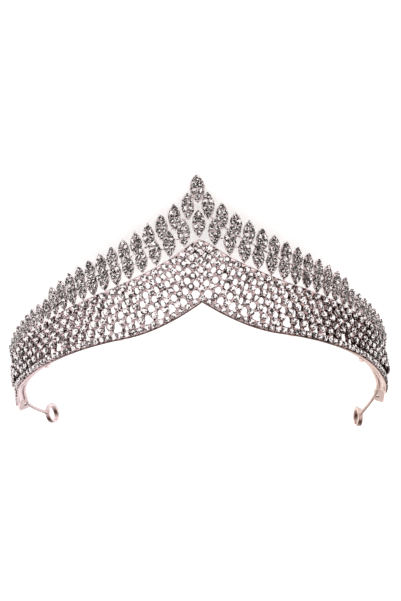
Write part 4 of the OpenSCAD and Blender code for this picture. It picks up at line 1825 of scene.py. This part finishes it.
    def ring(self, shape: Shape, centre: Array, level: Array) -> None:
        """Adds a loop's ring: its profile carried round the axle that is square to level and up.

        Its inner and its outer face carry painted shade: bright (1 - |cos (a - dark place)| to the sixth).

        Args:
            shape: the shape that receives it.
            centre: the ring's middle.
            level: the level direction in its plane.
        """
        outer, inner, deep, e = self.loop_d / 2, self.loop_bore / 2, self.loop_deep / 2, self.bevel
        front = [(inner, -deep + e), (inner + e, -deep), (outer - e, -deep), (outer, -deep + e)]
        profile = np.array(front + [(r, -z) for r, z in front[::-1]])
        n, m = self.loop_parts, len(profile)
        a = np.arange(n) * 2 * np.pi / n
        spoke = np.cos(a)[:, None] * level + np.sin(a)[:, None] * UP
        rings = centre + profile[None, :, :1] * spoke[:, None] + profile[None, :, 1:] * np.cross(level, UP)
        i, k = np.arange(n)[:, None] * m, ((np.arange(n) + 1) % n)[:, None] * m
        j = np.arange(m)[None]
        quads = np.stack([i + j, k + j, k + (j + 1) % m, i + (j + 1) % m], -1).reshape(-1, 4)
        tone = np.tile(np.array(self.loop_tones, float), (n, 1))
        for face, bright, dark_at in self.loop_shades:
            tone[:, face] = bright - bright * np.abs(np.cos(a - dark_at)) ** 6
        shape.add(rings, [quads], [tone.ravel()])

    def loop(self, side: Side, finishes: Finishes) -> None:
        """Builds an end loop: a short ring with rounded edges, on the bent tail of the wire.

        The tail is the curve g g a + 2 f g b + f f c, with g = 1 - f, from the wire's end a by
        the bend b to the ring c.

        Args:
            side: the arm.
            finishes: the materials.
        """
        bend = BENDS[side]
        centre, turn = np.array(bend.loop), math.radians(bend.turn)
        level = np.array([math.cos(turn), math.sin(turn), 0.0])
        shape = Shape()
        self.ring(shape, centre, level)
        _, out, _, m = self.plate_axes(side)
        start = self.wire_line(np.array([side.value * (self.wire_end + self.tail_gap)]))[0][0]
        middle = start + bend.tail_run * out + self.tail_rise * m
        v = centre - middle
        stop = centre - unit((v @ level) * level + v[2] * UP) * (self.loop_d + self.loop_bore) / 4
        f = np.linspace(0, 1, self.tail_parts + 1)[:, None]
        path = (1 - f) ** 2 * start + 2 * f * (1 - f) * middle + f**2 * stop
        ahead = unit((1 - f) * (middle - start) + f * (stop - middle))
        x = unit(np.cross(ahead, UP))
        width = self.wire_d / 2 * (self.tail_w + self.tail_flare * f[:, 0] ** 6)
        tail = pipe(path, x, np.cross(ahead, x), width, self.wire_sides)
        tone = np.where(np.sin(self.between_sides()) > self.tail_below, *self.tail_shades)
        shape.add(tail, tube(tail), [np.tile(tone, self.tail_parts), np.ones(2)])
        put(shape, f"loop_{side.word}", finishes, "warm_silver", f"end_loop_{side.word}")

    def tabs(self, finishes: Finishes) -> None:
        """Builds the four small solder tabs that tie wire, strip and hem.

        Args:
            finishes: the materials, by their slots.
        """
        s = np.array(self.tabs_at)
        foot, d, m = self.axes(s)
        points, faces = revolve(TAB_PROFILE, self.tab_sides)
        shape = Shape()
        places = Places(foot + self.tab_out * m, self.net.wall.axes(s)[0], -m, -d)
        shape.add(*places.stamp(points * np.array(self.tab_size), faces))
        put(shape, "solder_tabs", finishes, "warm_silver")

    def build(self, finishes: Finishes) -> None:
        """Builds the whole base.

        Args:
            finishes: the materials, by their slots.
        """
        self.strip(finishes)
        self.wire(finishes)
        for side in Side:
            self.plate(side, finishes)
            self.loop(side, finishes)
        self.tabs(finishes)


# The studio


@dataclass(frozen=True)
class SoftLight:
    """A large square lamp: where it stands, how wide it is, its power and its tint."""

    name: str
    at: tuple[float, float, float]
    size: float
    watts: float
    tint: Colour

    def build(self) -> None:
        """Hangs the lamp so that it shines at the tiara."""
        data = bpy.data.lights.new(self.name, "AREA")
        data.size = self.size
        data.energy = self.watts
        data.color = self.tint
        lamp = into_scene(self.name, data)
        lamp.location = self.at
        lamp.rotation_mode = "QUATERNION"
        lamp.rotation_quaternion = (-lamp.location).to_track_quat("-Z", "Y")


@dataclass(frozen=True)
class Studio:
    """The pale floor, the soft light and the camera at the photograph's angle."""

    camera_at: tuple[float, float, float] = (0.01474, -0.34756, 0.49567)
    camera_turn: tuple[float, float, float, float] = (0.007685, 0.016081, -0.299297, 0.953993)
    lens: float = 87.764
    floor_half: float = 3.0
    floor_z: float = -0.0001
    paper: float = 220.0
    glow: float = 0.27
    lamps: tuple[SoftLight, ...] = (
        SoftLight("overhead", (0.0, -0.25, 1.1), 1.2, 4.5, (1.0, 0.985, 0.98)),
        SoftLight("left_side", (1.0, -0.1, 0.6), 0.6, 1.2, (1.0, 0.93, 0.94)),
        SoftLight("right_side", (-1.0, -0.1, 0.6), 0.6, 1.0, (1.0, 0.92, 0.84)),
    )

    def floor(self) -> None:
        """Lays the floor: a level sheet just under the tiara, with a faint paper mottle."""
        h, z = self.floor_half, self.floor_z
        mesh = bpy.data.meshes.new("floor")
        mesh.from_pydata([(-h, -h, z), (h, -h, z), (h, h, z), (-h, h, z)], [], [(0, 1, 2, 3)])
        made, nodes = blank_material("pale_floor")
        mottle = nodes.noise(Vector=nodes.place(), Scale=self.paper)
        colour = nodes.ramp(mottle, (0.0, (0.90, 0.90, 0.90)), (1.0, (0.95, 0.95, 0.95)))
        nodes.surface(Base_Color=colour, Roughness=0.9, Specular_IOR_Level=0.1)
        nodes.surface(Emission_Color=(1, 1, 1), Emission_Strength=self.glow)
        mesh.materials.append(made)
        into_scene("floor", mesh)

    def sky(self) -> None:
        """Lights the room from all round: brighter above, darker towards the horizon."""
        world = bpy.data.worlds.new("studio")
        world.use_nodes = True
        nodes = Nodes(world.node_tree)
        height = nodes.part(nodes.add("TexCoord")["Generated"], "Z")
        stops = ((0.0, (0.42, 0.39, 0.38)), (0.3, (0.72, 0.70, 0.69)), (0.75, (1.0, 0.99, 0.99)))
        back = {"Color": nodes.ramp(height, *stops), "Strength": 1.0}
        nodes.feed(world.node_tree.nodes["Background"], back)
        bpy.context.scene.world = world

    def camera(self) -> None:
        """Sets the camera where the photograph was taken from, as measured on the band and leaves."""
        data = bpy.data.cameras.new("camera")
        data.lens = self.lens
        data.sensor_width = 36.0
        data.clip_start = 0.01
        data.clip_end = 20.0
        eye = into_scene("camera", data)
        eye.location = self.camera_at
        eye.rotation_mode = "QUATERNION"
        eye.rotation_quaternion = self.camera_turn
        bpy.context.scene.camera = eye

    def build(self) -> None:
        """Builds the studio."""
        self.floor()
        self.sky()
        for lamp in self.lamps:
            lamp.build()
        self.camera()
        bpy.context.scene.view_settings.view_transform = "Standard"


def main() -> None:
    """Builds the tiara and its studio, piece by piece."""
    logging.basicConfig(level=logging.INFO, format="%(message)s")
    Studio().build()
    finishes = make_finishes()
    OpenworkBand().build(finishes)
    Crest().build(finishes)
    Base().build(finishes)


if __name__ == "__main__":
    main()
